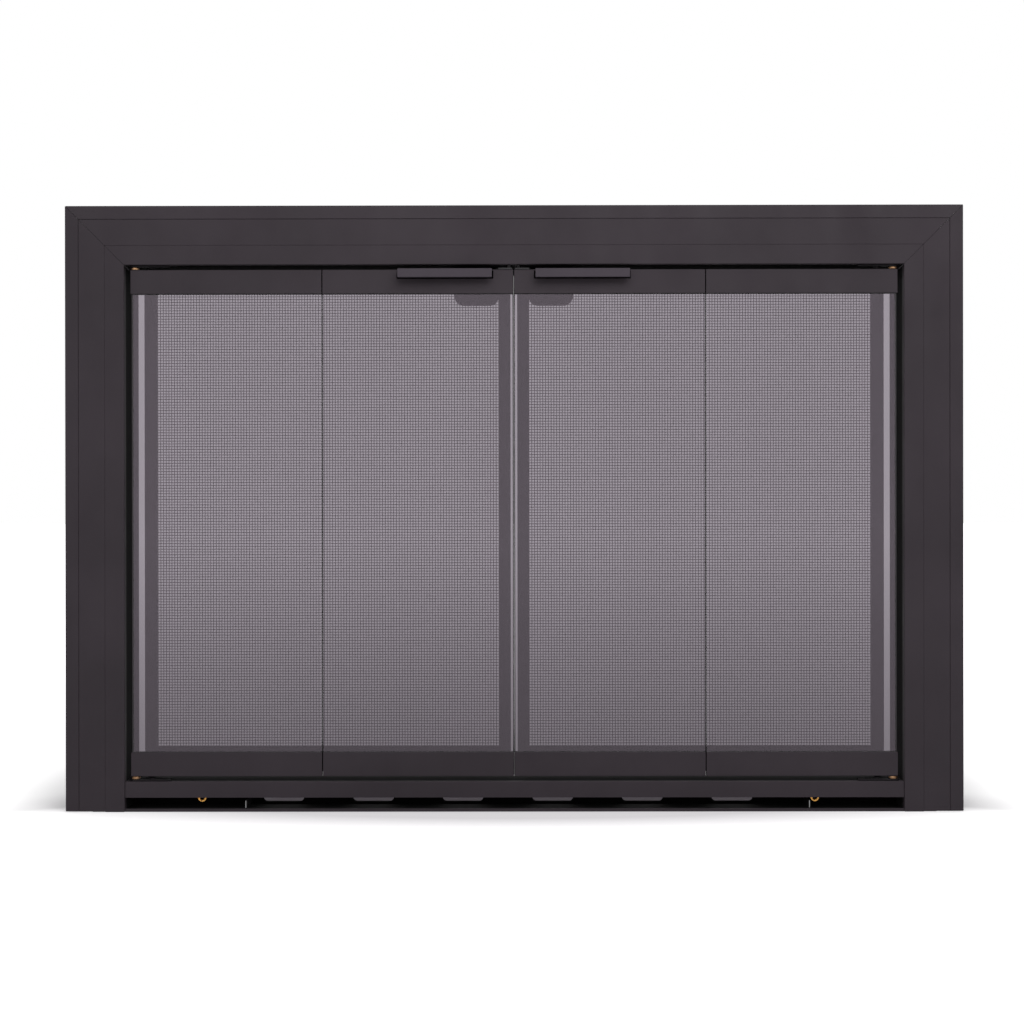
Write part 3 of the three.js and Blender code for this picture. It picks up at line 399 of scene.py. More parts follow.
def wires(name, across, along, centre_y, phase, upright):
    """A set of parallel wires that go over and under those crossing them.

    across: the wires' places; along: the crossings' places, with both ends of the wires."""
    count, steps = len(across), len(along)
    index = np.arange(count)[:, None] + np.arange(steps)[None, :]
    lift = np.where((index + phase) % 2 == 0, WEAVE_LIFT, -WEAVE_LIFT)
    side = np.broadcast_to(np.asarray(across)[:, None], (count, steps))
    run = np.broadcast_to(np.asarray(along)[None, :], (count, steps))
    rings = []
    for turn in range(WIRE_SIDES):
        angle = math.tau * turn / WIRE_SIDES
        out = WIRE_RADIUS * math.cos(angle)
        depth = WIRE_RADIUS * math.sin(angle)
        if upright:
            point = (side + out, centre_y + lift + depth, run)
        else:
            point = (run, centre_y + lift + depth, side - out)
        rings.append(np.stack(point, axis=-1))
    vertices = np.stack(rings, axis=2).reshape(-1, 3)
    start = WIRE_SIDES * np.arange(count * steps).reshape(count, steps)[:, :-1].reshape(-1)
    faces = []
    for turn in range(WIRE_SIDES):
        here, there = start + turn, start + (turn + 1) % WIRE_SIDES
        faces.append(np.stack((here, there, there + WIRE_SIDES, here + WIRE_SIDES), axis=-1))
    first = WIRE_SIDES * steps * np.arange(count)
    last = first + WIRE_SIDES * (steps - 1)
    faces.append(np.stack([first + corner for corner in reversed(range(WIRE_SIDES))], axis=-1))
    faces.append(np.stack([last + corner for corner in range(WIRE_SIDES)], axis=-1))
    return mesh_object(name, vertices, np.concatenate(faces), FINISH["mesh_black"])


def even_places(low, high):
    """Places of the wires between two edges of the window, about a mesh pitch apart."""
    count = round((high - low) / MESH_PITCH)
    return low + (high - low) * (np.arange(count) + 0.5) / count


def woven_net(side, sign):
    """The woven mesh of one gate, as its upright and its level wires."""
    low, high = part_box(f"{side}_gate_net")
    centre_y = (low.y + high.y) / 2
    near, far = sorted((abs(low.x), abs(high.x)))
    window_x = (near + NET_HIDDEN_X[0], far - NET_HIDDEN_X[1])
    window_z = (low.z + NET_HIDDEN_Z[0], high.z - NET_HIDDEN_Z[1])
    columns = sign * even_places(*window_x)
    rows = even_places(*window_z)
    ends_x = sign * np.array([window_x[0] - TUCK, window_x[1] + TUCK])
    ends_z = (window_z[0] - TUCK, window_z[1] + TUCK)
    warp_run = [ends_z[0], *rows, ends_z[1]]
    weft_run = [ends_x[0], *columns, ends_x[1]]
    upright = wires(f"{side}_mesh_warp", columns, warp_run, centre_y, 0, True)
    level = wires(f"{side}_mesh_weft", rows, weft_run, centre_y, 1, False)
    for obj in (upright, level):
        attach(obj, f"{side}_mesh_gate")
        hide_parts(f"{side}_gate_net")


# ---------------------------------------------------------------------------------------------
# Forms of the small pieces, in mm
# ---------------------------------------------------------------------------------------------

ROUND_TURNS = 24
CORNER_STEPS = 4
HEXAGON_HALF = math.pi / 6

# screw heads, from the seat up: share of the radius, share of the height, six-sided or round
PAN_HEAD = (
    (1, 0, False),
    (1, 0.45, False),
    (0.88, 0.8, False),
    (0.66, 1, False),
    (0.5, 1, True),
    (0.5, 0.35, True),
    (0.05, 0.25, False),
)
WASHER_BOLT = (
    (1.35, 0, False),
    (1.35, 0.25, False),
    (0.93, 0.25, False),
    (0.93, 0.32, False),
    (1, 0.32, True),
    (1, 0.88, True),
    (0.84, 1, False),
    (0.3, 1, False),
)
SOCKET_HEAD = (
    (1, 0, False),
    (1, 0.8, False),
    (0.96, 1, False),
    (0.62, 0.92, False),
    (0.56, 0.8, True),
    (0.54, 0.15, True),
    (0.1, 0.1, False),
)
# a dark disc at the bottom of the socket: painted shade
SOCKET_PAINTED_SHADE = ((0.5, 0.2, True), (0.5, 0.45, True))


def sized(shares, radius, height):
    """A turned profile in mm from its shares."""
    return [(radius * out, height * up, six_sided) for out, up, six_sided in shares]


def rod(radius, low, high, tip, foot=0):
    """The profile of a round rod, chamfered by tip at its high end and by foot at its low end."""
    ends = [(radius - foot, low), (radius, low + foot)] if foot else [(radius, low)]
    ends += [(radius, high - tip), (radius - tip, high)]
    return [(reach, height, False) for reach, height in ends]


def turned(profile, place, axis, turns=ROUND_TURNS):
    """A closed form turned about an axis, from rings of (radius, height, six-sided or round)."""
    along = Vector(axis).normalized()
    one = along.orthogonal().normalized()
    two = along.cross(one)
    points = []
    for radius, height, six_sided in profile:
        for turn in range(turns):
            angle = math.tau * turn / turns
            reach = radius
            if six_sided:
                off_flat = angle % (2 * HEXAGON_HALF) - HEXAGON_HALF
                reach *= math.cos(HEXAGON_HALF) / math.cos(off_flat)
            spoke = one * math.cos(angle) + two * math.sin(angle)
            points.append(Vector(place) + along * height + spoke * reach)
    faces = [list(range(turns))[::-1]]
    for ring in range(len(profile) - 1):
        for turn in range(turns):
            here, there = ring * turns + turn, ring * turns + (turn + 1) % turns
            faces.append([here, there, there + turns, here + turns])
    faces.append([(len(profile) - 1) * turns + turn for turn in range(turns)])
    return points, faces


def prism(outline, axis, low, high):
    """A closed form with an outline in the other two axes, drawn out along one axis."""
    count = len(outline)
    points = []
    for end in (low, high):
        for first, second in outline:
            point = [first, second]
            point.insert("xyz".index(axis), end)
            points.append(Vector(point))
    faces = [list(range(count))[::-1], list(range(count, 2 * count))]
    for corner in range(count):
        after = (corner + 1) % count
        faces.append([corner, after, after + count, corner + count])
    return points, faces


def rounded(first, second, radius):
    """The outline of a rectangle between two corners, with round corners."""
    low = [min(pair) for pair in zip(first, second)]
    high = [max(pair) for pair in zip(first, second)]
    outline = []
    for quarter in range(4):
        centre_a = high[0] - radius if quarter in (0, 3) else low[0] + radius
        centre_b = high[1] - radius if quarter in (0, 1) else low[1] + radius
        for step in range(CORNER_STEPS + 1):
            angle = (quarter + step / CORNER_STEPS) * math.pi / 2
            corner = (centre_a + radius * math.cos(angle), centre_b + radius * math.sin(angle))
            outline.append(corner)
    return outline


def piece(name, forms, finish, body, replaced=(), edge=0.15):
    """One piece of the visual model from closed forms, which rides on a body."""
    points, faces = [], []
    for form_points, form_faces in forms:
        faces += [[len(points) + index for index in face] for face in form_faces]
        points += [point * MM for point in form_points]
    mesh = bpy.data.meshes.new(name)
    mesh.from_pydata(points, [], faces)
    shell = bmesh.new()
    shell.from_mesh(mesh)
    bmesh.ops.recalc_face_normals(shell, faces=shell.faces)
    shell.to_mesh(mesh)
    shell.free()
    mesh.materials.append(FINISH[finish])
    obj = bpy.data.objects.new(name, mesh)
    bpy.context.scene.collection.objects.link(obj)
    soften(obj, edge * MM)
    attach(obj, body)
    if replaced:
        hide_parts(*replaced)


def box_mm(node):
    """The low and the high corner of a CAD node, in mm."""
    return [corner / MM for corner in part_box(node)]


def span_x(node):
    """The node's reach from the middle of the door, near and far, in mm."""
    low, high = box_mm(node)
    return sorted((abs(low.x), abs(high.x)))


def body_of(node):
    """The body that carries a CAD node."""
    return frame["nodes"][node].parent.name.split(":")[1]


# ---------------------------------------------------------------------------------------------
# Screws and bolts
# ---------------------------------------------------------------------------------------------

# radius and height of the heads
CORNER_SCREW = (4, 2.2)
BRACKET_SCREW = (3.4, 2)
ANCHOR_BOLT = (5, 5.5)
SET_BOLT = (5.5, 4.5)
STRAP_BOLT = (5.5, 5)

KEY_ARM_MIDDLE = 12  # from the corner key's edge to the middle of its arm
KEY_DOWN = 3.6  # places of the outer screws, in times the arm's middle
KEY_ALONG = 2.6

BRACKET_WALL = 2
BRACKET_SCREW_STEPS = (-8, 8)
BRACKET_SCREW_DROP = 12

CLAMP_WALL = 3
EAR_BOLT_RISE = 18
STRAP_BOLT_STEP = 15
SET_SHANK = (2.9, 0.6)  # radius, chamfer

STOP_RISE = 3  # height of the brass stop screw's head
STOP_TURNS = 36
STOP_SHANK = (2, 0.4)  # radius, chamfer


def corner_screws(side, sign):
    """Three screws that hold each corner key to the casings, behind the mitre."""
    low, high = box_mm(f"{side}_corner_key")
    arm = KEY_ARM_MIDDLE
    outer = max(abs(low.x), abs(high.x)) - arm
    places = (
        (outer, low.z + arm),
        (outer, high.z - KEY_DOWN * arm),
        (outer - KEY_ALONG * arm, high.z - arm),
    )
    head = sized(PAN_HEAD, *CORNER_SCREW)
    forms = [turned(head, (sign * x, high.y, z), (0, 1, 0)) for x, z in places]
    piece(f"{side}_corner_screws", forms, "zinc", "frame")


def bracket_screws(side, sign):
    """Two screws through each floor bracket into the jamb, and its anchor in the hearth."""
    low, high = box_mm(f"{side}_floor_bracket")
    near, far = span_x(f"{side}_floor_bracket")
    middle = (low.y + high.y) / 2
    face = near + BRACKET_WALL
    head = sized(PAN_HEAD, *BRACKET_SCREW)
    forms = [
        turned(head, (sign * face, middle + step, high.z - BRACKET_SCREW_DROP), (sign, 0, 0))
        for step in BRACKET_SCREW_STEPS
    ]
    foot = (sign * (face + far) / 2, middle, BRACKET_WALL)
    forms.append(turned(sized(WASHER_BOLT, *ANCHOR_BOLT), foot, (0, 0, 1)))
    piece(f"{side}_bracket_screws", forms, "zinc", "frame")


def clamp_bolts(side, sign):
    """The bolt in each lintel clamp's slot, and the set bolt in its ear."""
    low, high = box_mm(f"{side}_lintel_clamp")
    near, far = span_x(f"{side}_lintel_clamp")
    middle = sign * (near + far) / 2
    radius, chamfer = SET_SHANK
    ear = (middle, high.y - CLAMP_WALL, low.z + EAR_BOLT_RISE)
    strap = (middle, low.y + STRAP_BOLT_STEP, low.z + CLAMP_WALL)
    forms = [
        turned(sized(WASHER_BOLT, *SET_BOLT), ear, (0, -1, 0)),
        turned(rod(radius, 0, CLAMP_WALL, chamfer), ear, (0, 1, 0)),
        turned(sized(WASHER_BOLT, *STRAP_BOLT), strap, (0, 0, 1)),
    ]
    piece(f"{side}_clamp_bolts", forms, "zinc", "frame")


def stop_screw(side):
    """A dished brass socket screw in place of the plain stop screw, with painted shade in its
    socket.
    """
    node = f"{side}_damper_stop"
    low, high = box_mm(node)
    radius, chamfer = STOP_SHANK
    head = ((high.x - low.x) / 2, STOP_RISE)
    seat = low.y + STOP_RISE
    place = ((low.x + high.x) / 2, seat, (low.z + high.z) / 2)
    # painted shade: the socket's bottom, which lies in shade, is covered by a dark disc
    painted_shade = turned(sized(SOCKET_PAINTED_SHADE, *head), place, (0, -1, 0))
    piece(f"{side}_stop_socket_soot", [painted_shade], "inner_black", "frame", edge=0.05)
    forms = [
        turned(sized(SOCKET_HEAD, *head), place, (0, -1, 0), STOP_TURNS),
        turned(rod(radius, 0, high.y - seat, chamfer), place, (0, 1, 0)),
    ]
    piece(f"{side}_stop_screw", forms, "brass", "frame", (node,))


# ---------------------------------------------------------------------------------------------
# Fold hinges
# ---------------------------------------------------------------------------------------------

HINGE_WALL = 1.2
HINGE_CORNER = 2.5
HINGE_ROOM = 1  # from the hinge's end to the rail's edge
KNUCKLE_RADIUS = 2.2
END_KNUCKLE = 6.4
KNUCKLE_GAP = 0.2
LEAF_ROOT = 2.6  # from the axle to the flat part of a leaf
WEB_REACH = 4  # how far a knuckle's web runs onto its leaf
AXLE_RADIUS = 1.1
AXLE_PEEP = 0.9  # how far the axle stands out of the knuckles
AXLE_CHAMFER = 0.4
HINGE_SCREW = (2.4, 0.9)
HINGE_SCREW_TURNS = 18
HINGE_SCREW_INSET = 5
HINGE_SCREW_SHIFT = 1.5
RAIL_OF_HINGE = {"upper": "top", "lower": "bottom"}
# leaf, which way it lies from the axle, its knuckles counted from below
HINGE_LEAVES = (("inner", -1, (1,)), ("outer", 1, (0, 2)))


def fold_hinge(side, sign, level):
    """A butt hinge between two leaves, with rolled knuckles, screws and an axle."""
    rail_low, rail_high = box_mm(f"{side}_inner_{RAIL_OF_HINGE[level]}_rail")
    pin = f"{side}_{level}_hinge_pin"
    pin_low, pin_high = box_mm(pin)
    low, high = box_mm(f"{side}_{level}_hinge_inner")
    axis_x = abs(pin_low.x + pin_high.x) / 2
    axis_y = (pin_low.y + pin_high.y) / 2
    face = low.y + HINGE_WALL
    bottom = max(low.z, rail_low.z + HINGE_ROOM)
    top = min(high.z, rail_high.z - HINGE_ROOM)
    seams = (bottom, bottom + END_KNUCKLE, top - END_KNUCKLE, top)
    head = sized(PAN_HEAD, *HINGE_SCREW)
    for part, outward, knuckles in HINGE_LEAVES:
        node = f"{side}_{level}_hinge_{part}"
        near, far = span_x(node)
        edge_x = near if part == "inner" else far
        root_x = axis_x + outward * LEAF_ROOT
        web_x = root_x + outward * WEB_REACH
        plate = rounded((sign * edge_x, bottom), (sign * root_x, top), HINGE_CORNER)
        web = [
            (sign * axis_x, low.y),
            (sign * web_x, low.y),
            (sign * web_x, face),
            (sign * axis_x, face),
        ]
        forms = [prism(plate, "y", low.y, face)]
        for knuckle in knuckles:
            start = seams[knuckle] + KNUCKLE_GAP / 2
            end = seams[knuckle + 1] - KNUCKLE_GAP / 2
            barrel = [(KNUCKLE_RADIUS, height, False) for height in (0, end - start)]
            forms.append(turned(barrel, (sign * axis_x, axis_y, start), (0, 0, 1)))
            forms.append(prism(web, "z", start, end))
        piece(f"{side}_{level}_{part}_hinge_leaf", forms, "inner_black", body_of(node), (node,))
        middle = (edge_x + root_x) / 2 + outward * HINGE_SCREW_SHIFT
        screws = [
            turned(head, (sign * middle, face, z), (0, 1, 0), HINGE_SCREW_TURNS)
            for z in (bottom + HINGE_SCREW_INSET, top - HINGE_SCREW_INSET)
        ]
        piece(f"{side}_{level}_{part}_hinge_screws", screws, "zinc", body_of(node))
    length = top - bottom
    axle = rod(AXLE_RADIUS, -AXLE_PEEP, length + AXLE_PEEP, AXLE_CHAMFER, AXLE_CHAMFER)
    forms = [turned(axle, (sign * axis_x, axis_y, bottom), (0, 0, 1))]
    piece(f"{side}_{level}_hinge_axle", forms, "zinc", body_of(pin), (pin,))


# ---------------------------------------------------------------------------------------------
# Seals, gaskets and trims of the doors
# ---------------------------------------------------------------------------------------------

SEAL_PLAY = 0.2  # between a seal's ends and the rails
SEAL_CORNER = 0.3
FOLD_SEAL = (0.03, 0.95)  # from the inner pane's outer edge into the fold's seam
# the centre's fin tapers towards its tip, because the leaves' inner ends cross over as they fold
FIN_BEHIND_GLASS = (0.95, 0.21)  # outer and inner place of its foot, from the door's middle
FIN_BEHIND_RAIL = (0.75, 0.15)
FIN_TIP = (0.07, 0.8)  # inner and outer place of its tip
FIN_START = 0.02
FIN_DEPTH = 7.5
TRIM_WIDTH = 1.5
TRIM_OVERLAP = 0.2
TRIM_WALL = 0.25

RAIL_WALL = 1.2
GASKET_PLAY = 0.3
# the bead's reach past the rail's edge: out over the glass, up into the rail at the glass, in
# the middle and at the rail's wall
BEAD_OUT, BEAD_IN, BEAD_MIDDLE, BEAD_WALL = 2, 0.9, 0.7, 0.2


def fin_section(sign, foot, start, tip):
    """The section of the centre's fin, from where it starts to its tip."""
    return [
        (sign * foot[0], start),
        (sign * foot[1], start),
        (sign * FIN_TIP[0], tip),
        (sign * FIN_TIP[1], tip),
    ]


def glass_seals(side, sign):
    """Black seals: in the fold's seam, behind the centre's seam and at the outer pane's end."""
    low, high = box_mm(f"{side}_inner_glass")
    lower_rail = box_mm(f"{side}_inner_bottom_rail")
    upper_rail = box_mm(f"{side}_inner_top_rail")
    bottom, top = lower_rail[1].z + SEAL_PLAY, upper_rail[0].z - SEAL_PLAY
    far = span_x(f"{side}_inner_glass")[1]
    fold = rounded(
        (sign * (far + FOLD_SEAL[0]), low.y + SEAL_CORNER),
        (sign * (far + FOLD_SEAL[1]), high.y - SEAL_CORNER),
        SEAL_CORNER,
    )
    body = f"{side}_inner_leaf"
    piece(f"{side}_fold_seal", [prism(fold, "z", bottom, top)], "shoe_grey", body)
    tip = high.y + FIN_DEPTH
    behind_glass = fin_section(sign, FIN_BEHIND_GLASS, high.y + FIN_START, tip)
    behind_rail = fin_section(sign, FIN_BEHIND_RAIL, lower_rail[1].y + FIN_START, tip)
    forms = [
        prism(behind_glass, "z", bottom, top),
        prism(behind_rail, "z", lower_rail[0].z, bottom),
        prism(behind_rail, "z", top, upper_rail[1].z),
    ]
    piece(f"{side}_centre_seal", forms, "shoe_grey", body)
    outer = span_x(f"{side}_outer_glass")[1]
    trim = rounded(
        (sign * (outer - TRIM_WIDTH), low.y - TRIM_WALL),
        (sign * (outer + TRIM_OVERLAP), high.y + TRIM_WALL),
        TRIM_WALL,
    )
    forms = [prism(trim, "z", bottom, top)]
    piece(f"{side}_outer_trim", forms, "shoe_grey", f"{side}_outer_leaf")


def gaskets(side, sign, leaf):
    """Rubber beads in front of and behind the glass, where it enters a rail."""
    glass = box_mm(f"{side}_{leaf}_glass")
    near, far = span_x(f"{side}_{leaf}_glass")
    ends = (sign * (near + GASKET_PLAY), sign * (far - GASKET_PLAY))
    forms = []
    for level, edge, up in (("top", 0, -1), ("bottom", 1, 1)):
        rail = box_mm(f"{side}_{leaf}_{level}_rail")
        z = rail[edge].z
        for face, inward in ((0, 1), (1, -1)):
            wall = rail[face].y + inward * RAIL_WALL
            pane = glass[face].y
            bead = [
                (wall, z - up * BEAD_OUT),
                (pane, z - up * BEAD_OUT),
                (pane, z + up * BEAD_IN),
                ((wall + pane) / 2, z + up * BEAD_MIDDLE),
                (wall, z + up * BEAD_WALL),
            ]
            forms.append(prism(bead, "x", *ends))
    piece(f"{side}_{leaf}_gaskets", forms, "shoe_grey", f"{side}_{leaf}_leaf", edge=0.05)


# ---------------------------------------------------------------------------------------------
# Small pieces of the gates, the damper and the frame
# ---------------------------------------------------------------------------------------------

WELD_DIMPLE = ((2.6, 0, False), (2.4, 0.25, False), (1.8, 0.4, False), (0.9, 0.3, False))
WELD_TURNS = 16
GATE_BACK = 3.5  # from the net's back to the back of the gate's frame
STILE_WELDS = 7
RAIL_WELDS = 4
STILE_WELD_INSET = (5, 6)  # centre side, pivot side
STILE_WELD_ENDS = 14
RAIL_WELD_INSET = (12, 9)  # below, above

HEM = 1.3
FOOT_HEM = 4.6
HEM_LAP = 0.3  # how far the hem runs under the gate's frame
HEM_CORNER = 0.3
HEM_DEPTH = (-1.4, -0.2)  # from the net's front

TAB_INSET = 0.6
TAB_EDGE_HALF = 0.5
TAB_EDGE_Z = (3.8, 12)
TAB_EDGE_DEPTH = (-0.25, 0.1)  # from the tab's front
TAB_CORNER = 0.3

FILLER_HALF = 0.3
FILLER_DEPTH = (0.35, 2.6)  # from the frame's front
MITRE_OUT = 18  # the mitre filler's ends: out from the seam, in from the jamb's edge
MITRE_IN = 0.6
SEAM_DEPTH = (0.35, 1)
SEAM_LAP = (0.5, 0.2)  # over the jamb, over the casing
SEAM_CORNER = 0.05


def gate_welds(side, sign):
    """Spot welds along the back of the gate's frame, which hold its two halves on the net."""
    low, high = box_mm(f"{side}_gate_net")
    near, far = span_x(f"{side}_gate_net")
    run = high.z - low.z - 2 * STILE_WELD_ENDS
    places = []
    for step in range(STILE_WELDS):
        z = low.z + STILE_WELD_ENDS + run * step / (STILE_WELDS - 1)
        places += [(near + STILE_WELD_INSET[0], z), (far - STILE_WELD_INSET[1], z)]
    for step in range(1, RAIL_WELDS + 1):
        x = near + (far - near) * step / (RAIL_WELDS + 1)
        places += [(x, low.z + RAIL_WELD_INSET[0]), (x, high.z - RAIL_WELD_INSET[1])]
    back = high.y + GATE_BACK
    forms = [
        turned(WELD_DIMPLE, (sign * x, back, z), (0, 1, 0), WELD_TURNS)
        for x, z in places
    ]
    piece(f"{side}_gate_welds", forms, "mesh_black", f"{side}_mesh_gate", edge=0.05)


def net_border(side, sign):
    """The folded hem that holds the net along the gate's window, in front of the wires."""
    low, high = box_mm(f"{side}_gate_net")
    near, far = span_x(f"{side}_gate_net")
    near, far = near + NET_HIDDEN_X[0] / MM, far - NET_HIDDEN_X[1] / MM
    bottom, top = low.z + NET_HIDDEN_Z[0] / MM, high.z - NET_HIDDEN_Z[1] / MM
    under, over = bottom - HEM_LAP, top + HEM_LAP
    strips = (
        ((near - HEM_LAP, under), (near + HEM, over)),
        ((far - HEM, under), (far + HEM_LAP, over)),
        ((near, under), (far, bottom + FOOT_HEM)),
        ((near, top - HEM), (far, over)),
    )
    front, back = [low.y + depth for depth in HEM_DEPTH]
    forms = []
    for first, second in strips:
        strip = rounded((sign * first[0], first[1]), (sign * second[0], second[1]), HEM_CORNER)
        forms.append(prism(strip, "y", front, back))
    piece(f"{side}_net_border", forms, "mesh_black", f"{side}_mesh_gate", edge=0.1)


def tab_edges():
    """The bare sheared front edges of the damper's two finger tabs."""
    low, high = box_mm("damper_slider")
    front, back = [low.y + depth for depth in TAB_EDGE_DEPTH]
    for side, x in (("left", low.x + TAB_INSET), ("right", high.x - TAB_INSET)):
        first = (x - TAB_EDGE_HALF, TAB_EDGE_Z[0])
        second = (x + TAB_EDGE_HALF, TAB_EDGE_Z[1])
        forms = [prism(rounded(first, second, TAB_CORNER), "y", front, back)]
        piece(f"{side}_tab_edge", forms, "zinc", "damper", edge=0.05)


def joint_fillings(side, sign):
    """Dark filler in the mitre, and paint in the seam between casing and jamb."""
    low, high = box_mm(f"{side}_casing")
    seam_x = min(abs(low.x), abs(high.x))
    seam_z = box_mm("head_casing")[0].z
    rise = seam_z - seam_x  # the mitre runs up by as much as it runs out
    start, end = seam_x + MITRE_OUT, span_x(f"{side}_jamb")[0] + MITRE_IN
    mitre = [
        (sign * (x + step), x + rise - step)
        for x, step in (
            (start, -FILLER_HALF),
            (start, FILLER_HALF),
            (end, FILLER_HALF),
            (end, -FILLER_HALF),
        )
    ]
    forms = [prism(mitre, "y", *[low.y + depth for depth in FILLER_DEPTH])]
    piece(f"{side}_mitre_filler", forms, "inner_black", "frame", edge=0.05)
    first = (sign * (seam_x - SEAM_LAP[0]), low.z + SEAM_LAP[1])
    second = (sign * (seam_x + SEAM_LAP[1]), seam_z)
    seam = rounded(first, second, SEAM_CORNER)
    forms = [prism(seam, "y", *[low.y + depth for depth in SEAM_DEPTH])]
    piece(f"{side}_seam_paint", forms, FRAME_FINISH, "frame", edge=0.02)


def head_seam_paint():
    """Paint in the seam between the head's casing and jamb."""
    low, high = box_mm("head_casing")
    half = min(abs(corner.x) for corner in box_mm("left_casing"))
    seam = rounded((-half, low.z - SEAM_LAP[0]), (half, low.z + SEAM_LAP[1]), SEAM_CORNER)
    forms = [prism(seam, "y", *[low.y + depth for depth in SEAM_DEPTH])]
    piece("head_seam_paint", forms, FRAME_FINISH, "frame", edge=0.02)


# ---------------------------------------------------------------------------------------------
# Stage, light and camera
# ---------------------------------------------------------------------------------------------

STAGE_HALF = 40.0
FLOOR_DROP = 0.2 * MM
FLOOR_COLOUR = linear(246, 245, 246)
SHADOW_PATCH_SIZE = (0.47, 0.13)  # half width and half depth of the painted shadow on the floor close behind the door
SHADOW_PATCH_EDGE = (0.7, 1.3)
PAINTED_SHADOW_COLOUR = linear(120, 112, 120)
# where the object's own shade on the floor ends, and where full light starts
SHADE_ENDS = {"aside": (0.49, 0.6), "before": (0.0, -0.055), "beyond": (0.4, 1.0)}
NEAR_GLOW = 0.55
FAR_GLOW = 0.45
FAR_GLOW_REACH = (0.6, 2.2)
# the floor as a gloss and as the smoked glass show it: plain light that falls off to the object
SEEN_MIRRORED = (0.78, 1.0)
SEEN_BEHIND_GLASS = (0.5, 1.0)
SEEN_HALF_WAY = 2.0
SEEN_ENDS = (0.2, 0.9)
AMBIENT = 0.4

# place, size and watts
SOFTBOXES = {
    "key": ((0.4, -1.7, 1.75), (1.8, 1.2), 30),
    "fill": ((-2.0, -2.2, 1.3), (1.6, 1.6), 6),
}
SOFTBOX_AIM = (0, 0, 0.35)

CAMERA_PLACE = (0.0045, -2.0455, 0.342)
CAMERA_AIM = (-0.0022, -0.04975, 0.3390)
CAMERA_ROLL = math.radians(-0.075)
CAMERA_LENS = 62.07
CAMERA_CLIP = (0.05, 100)


def seen_straight(tree):
    """1 for rays that come from the camera, a gloss or a glass, 0 for those that light."""
    path = tree.nodes.new("ShaderNodeLightPath")
    total = path.outputs["Is Camera Ray"]
    for kind in ("Is Glossy Ray", "Is Transmission Ray"):
        add = tree.nodes.new("ShaderNodeMath")
        add.operation = "ADD"
        add.use_clamp = True
        tree.links.new(total, add.inputs[0])
        tree.links.new(path.outputs[kind], add.inputs[1])
        total = add.outputs[0]
    return total


def floor():
    """A pale floor that shows white, keeps the object's soft shadow and has a painted shadow close
    behind the door.
    """
    mesh = bpy.data.meshes.new("floor")
    h = STAGE_HALF
    mesh.from_pydata([(-h, -h, 0), (h, -h, 0), (h, h, 0), (-h, h, 0)], [], [(0, 1, 2, 3)])
    obj = bpy.data.objects.new("floor", mesh)
    bpy.context.scene.collection.objects.link(obj)
    s = Shader("floor")
    # painted shadow: the floor's colour darkens in an oval close behind the door
    under = s.node("ShaderNodeMapping")
    under.inputs["Scale"].default_value = (1 / SHADOW_PATCH_SIZE[0], 1 / SHADOW_PATCH_SIZE[1], 1)
    s.link(s.place, under.inputs["Vector"])
    unshadowed = s.ramp(s.length(under.outputs["Vector"]), *SHADOW_PATCH_EDGE)
    shade = s.mix(unshadowed, PAINTED_SHADOW_COLOUR, FLOOR_COLOUR)
    s.set(base_color=shade, roughness=0.8, specular_ior_level=0.1, emission_color=WHITE)
    place = s.parts(s.place)
    aside = s.ramp(s.math("ABSOLUTE", place["X"]), *SHADE_ENDS["aside"])
    before = s.ramp(place["Y"], *SHADE_ENDS["before"])
    beyond = s.ramp(place["Y"], *SHADE_ENDS["beyond"])
    outside = s.math("MAXIMUM", s.math("MAXIMUM", aside, before), beyond)
    distance = s.length(s.place)
    far_glow = s.ramp(distance, *FAR_GLOW_REACH, 0, FAR_GLOW)
    glow = s.math("ADD", s.math("MULTIPLY", outside, NEAR_GLOW), far_glow)
    s.set(emission_strength=s.math("MULTIPLY", seen_straight(s.tree), glow))
    share = s.math("DIVIDE", distance, s.math("ADD", distance, SEEN_HALF_WAY))
    shown = s.surface.outputs["BSDF"]
    lights = (("Is Glossy Ray", SEEN_MIRRORED), ("Is Transmission Ray", SEEN_BEHIND_GLASS))
    for ray, strength in lights:
        light = s.node("ShaderNodeEmission")
        s.link(s.ramp(share, *SEEN_ENDS, *strength), light.inputs["Strength"])
        shown = s.swap(ray, shown, light.outputs["Emission"])
    s.show(shown)
    mesh.materials.append(s.material)
    obj.location.z = -FLOOR_DROP


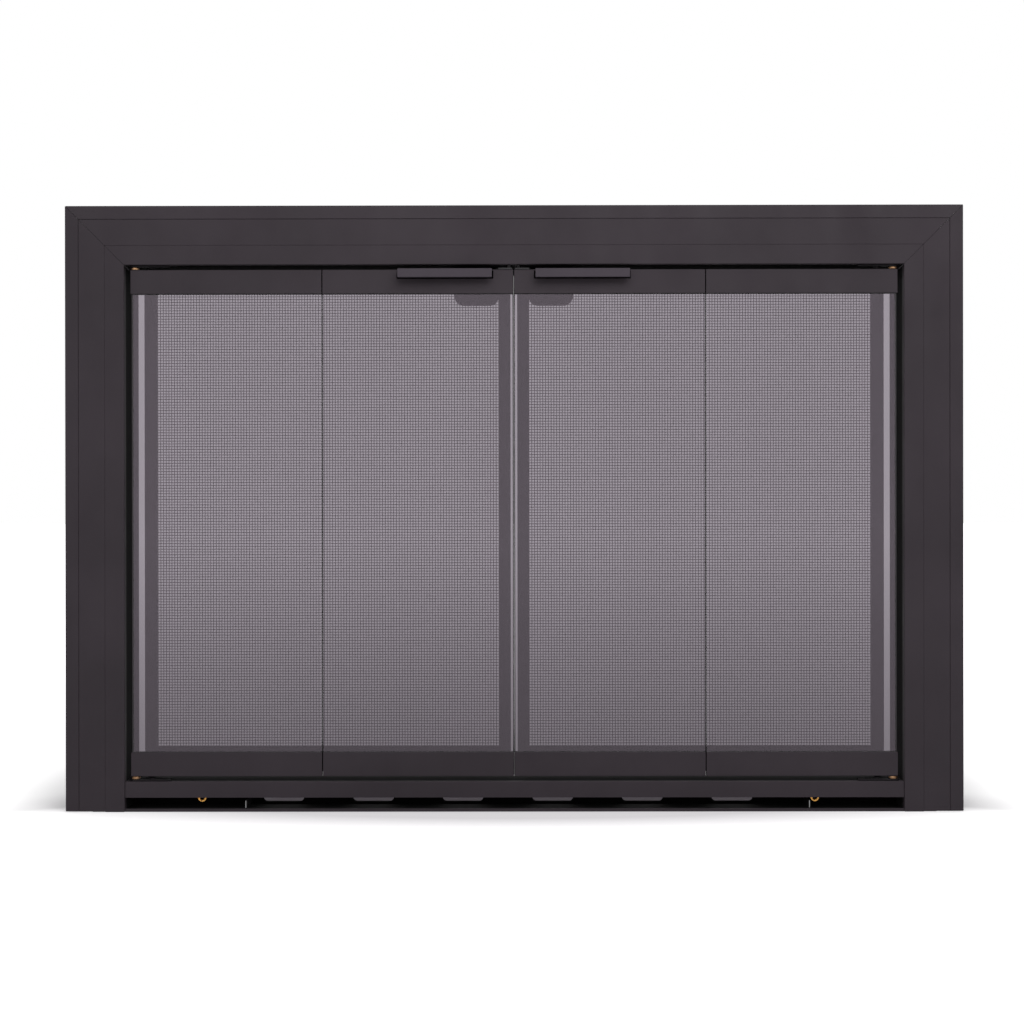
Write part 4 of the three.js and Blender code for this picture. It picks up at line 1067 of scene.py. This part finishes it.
def world():
    """A white surround: plain where it is seen, softer where it only lights the object."""
    sky = bpy.data.worlds.new("studio")
    bpy.context.scene.world = sky
    sky.use_nodes = True
    tree = sky.node_tree
    background = tree.nodes["Background"]
    strength = tree.nodes.new("ShaderNodeMapRange")
    strength.inputs["To Min"].default_value = AMBIENT
    strength.inputs["To Max"].default_value = 1.0
    tree.links.new(seen_straight(tree), strength.inputs["Value"])
    tree.links.new(strength.outputs["Result"], background.inputs["Strength"])
    background.inputs["Color"].default_value = WHITE


def softbox(name, place, size, watts):
    """A square lamp that faces the door and isn't seen through its glass."""
    light = bpy.data.lights.new(name, "AREA")
    light.shape = "RECTANGLE"
    light.size, light.size_y = size
    light.energy = watts
    lamp = bpy.data.objects.new(name, light)
    lamp.visible_transmission = False
    bpy.context.scene.collection.objects.link(lamp)
    lamp.location = place
    facing = (Vector(SOFTBOX_AIM) - Vector(place)).to_track_quat("-Z", "Y")
    lamp.rotation_euler = facing.to_euler()


def camera():
    """The camera at the photo's place, about two metres in front of the door."""
    data = bpy.data.cameras.new("camera")
    data.lens = CAMERA_LENS
    data.clip_start, data.clip_end = CAMERA_CLIP
    obj = bpy.data.objects.new("camera", data)
    bpy.context.scene.collection.objects.link(obj)
    obj.location = CAMERA_PLACE
    facing = (Vector(CAMERA_AIM) - Vector(CAMERA_PLACE)).to_track_quat("-Z", "Y")
    obj.rotation_euler = facing.to_euler()
    obj.rotation_euler.rotate_axis("Z", CAMERA_ROLL)
    bpy.context.scene.camera = obj


camera()
world()
floor()
for lamp_name, settings in SOFTBOXES.items():
    softbox(lamp_name, *settings)
bpy.context.scene.view_settings.view_transform = "Standard"

dress_nodes()
for side_name, side_sign in SIDES:
    woven_net(side_name, side_sign)
    corner_screws(side_name, side_sign)
    bracket_screws(side_name, side_sign)
    clamp_bolts(side_name, side_sign)
    stop_screw(side_name)
    fold_hinge(side_name, side_sign, "upper")
    fold_hinge(side_name, side_sign, "lower")
    glass_seals(side_name, side_sign)
    gaskets(side_name, side_sign, "inner")
    gaskets(side_name, side_sign, "outer")
    gate_welds(side_name, side_sign)
    net_border(side_name, side_sign)
    joint_fillings(side_name, side_sign)
tab_edges()
head_seam_paint()
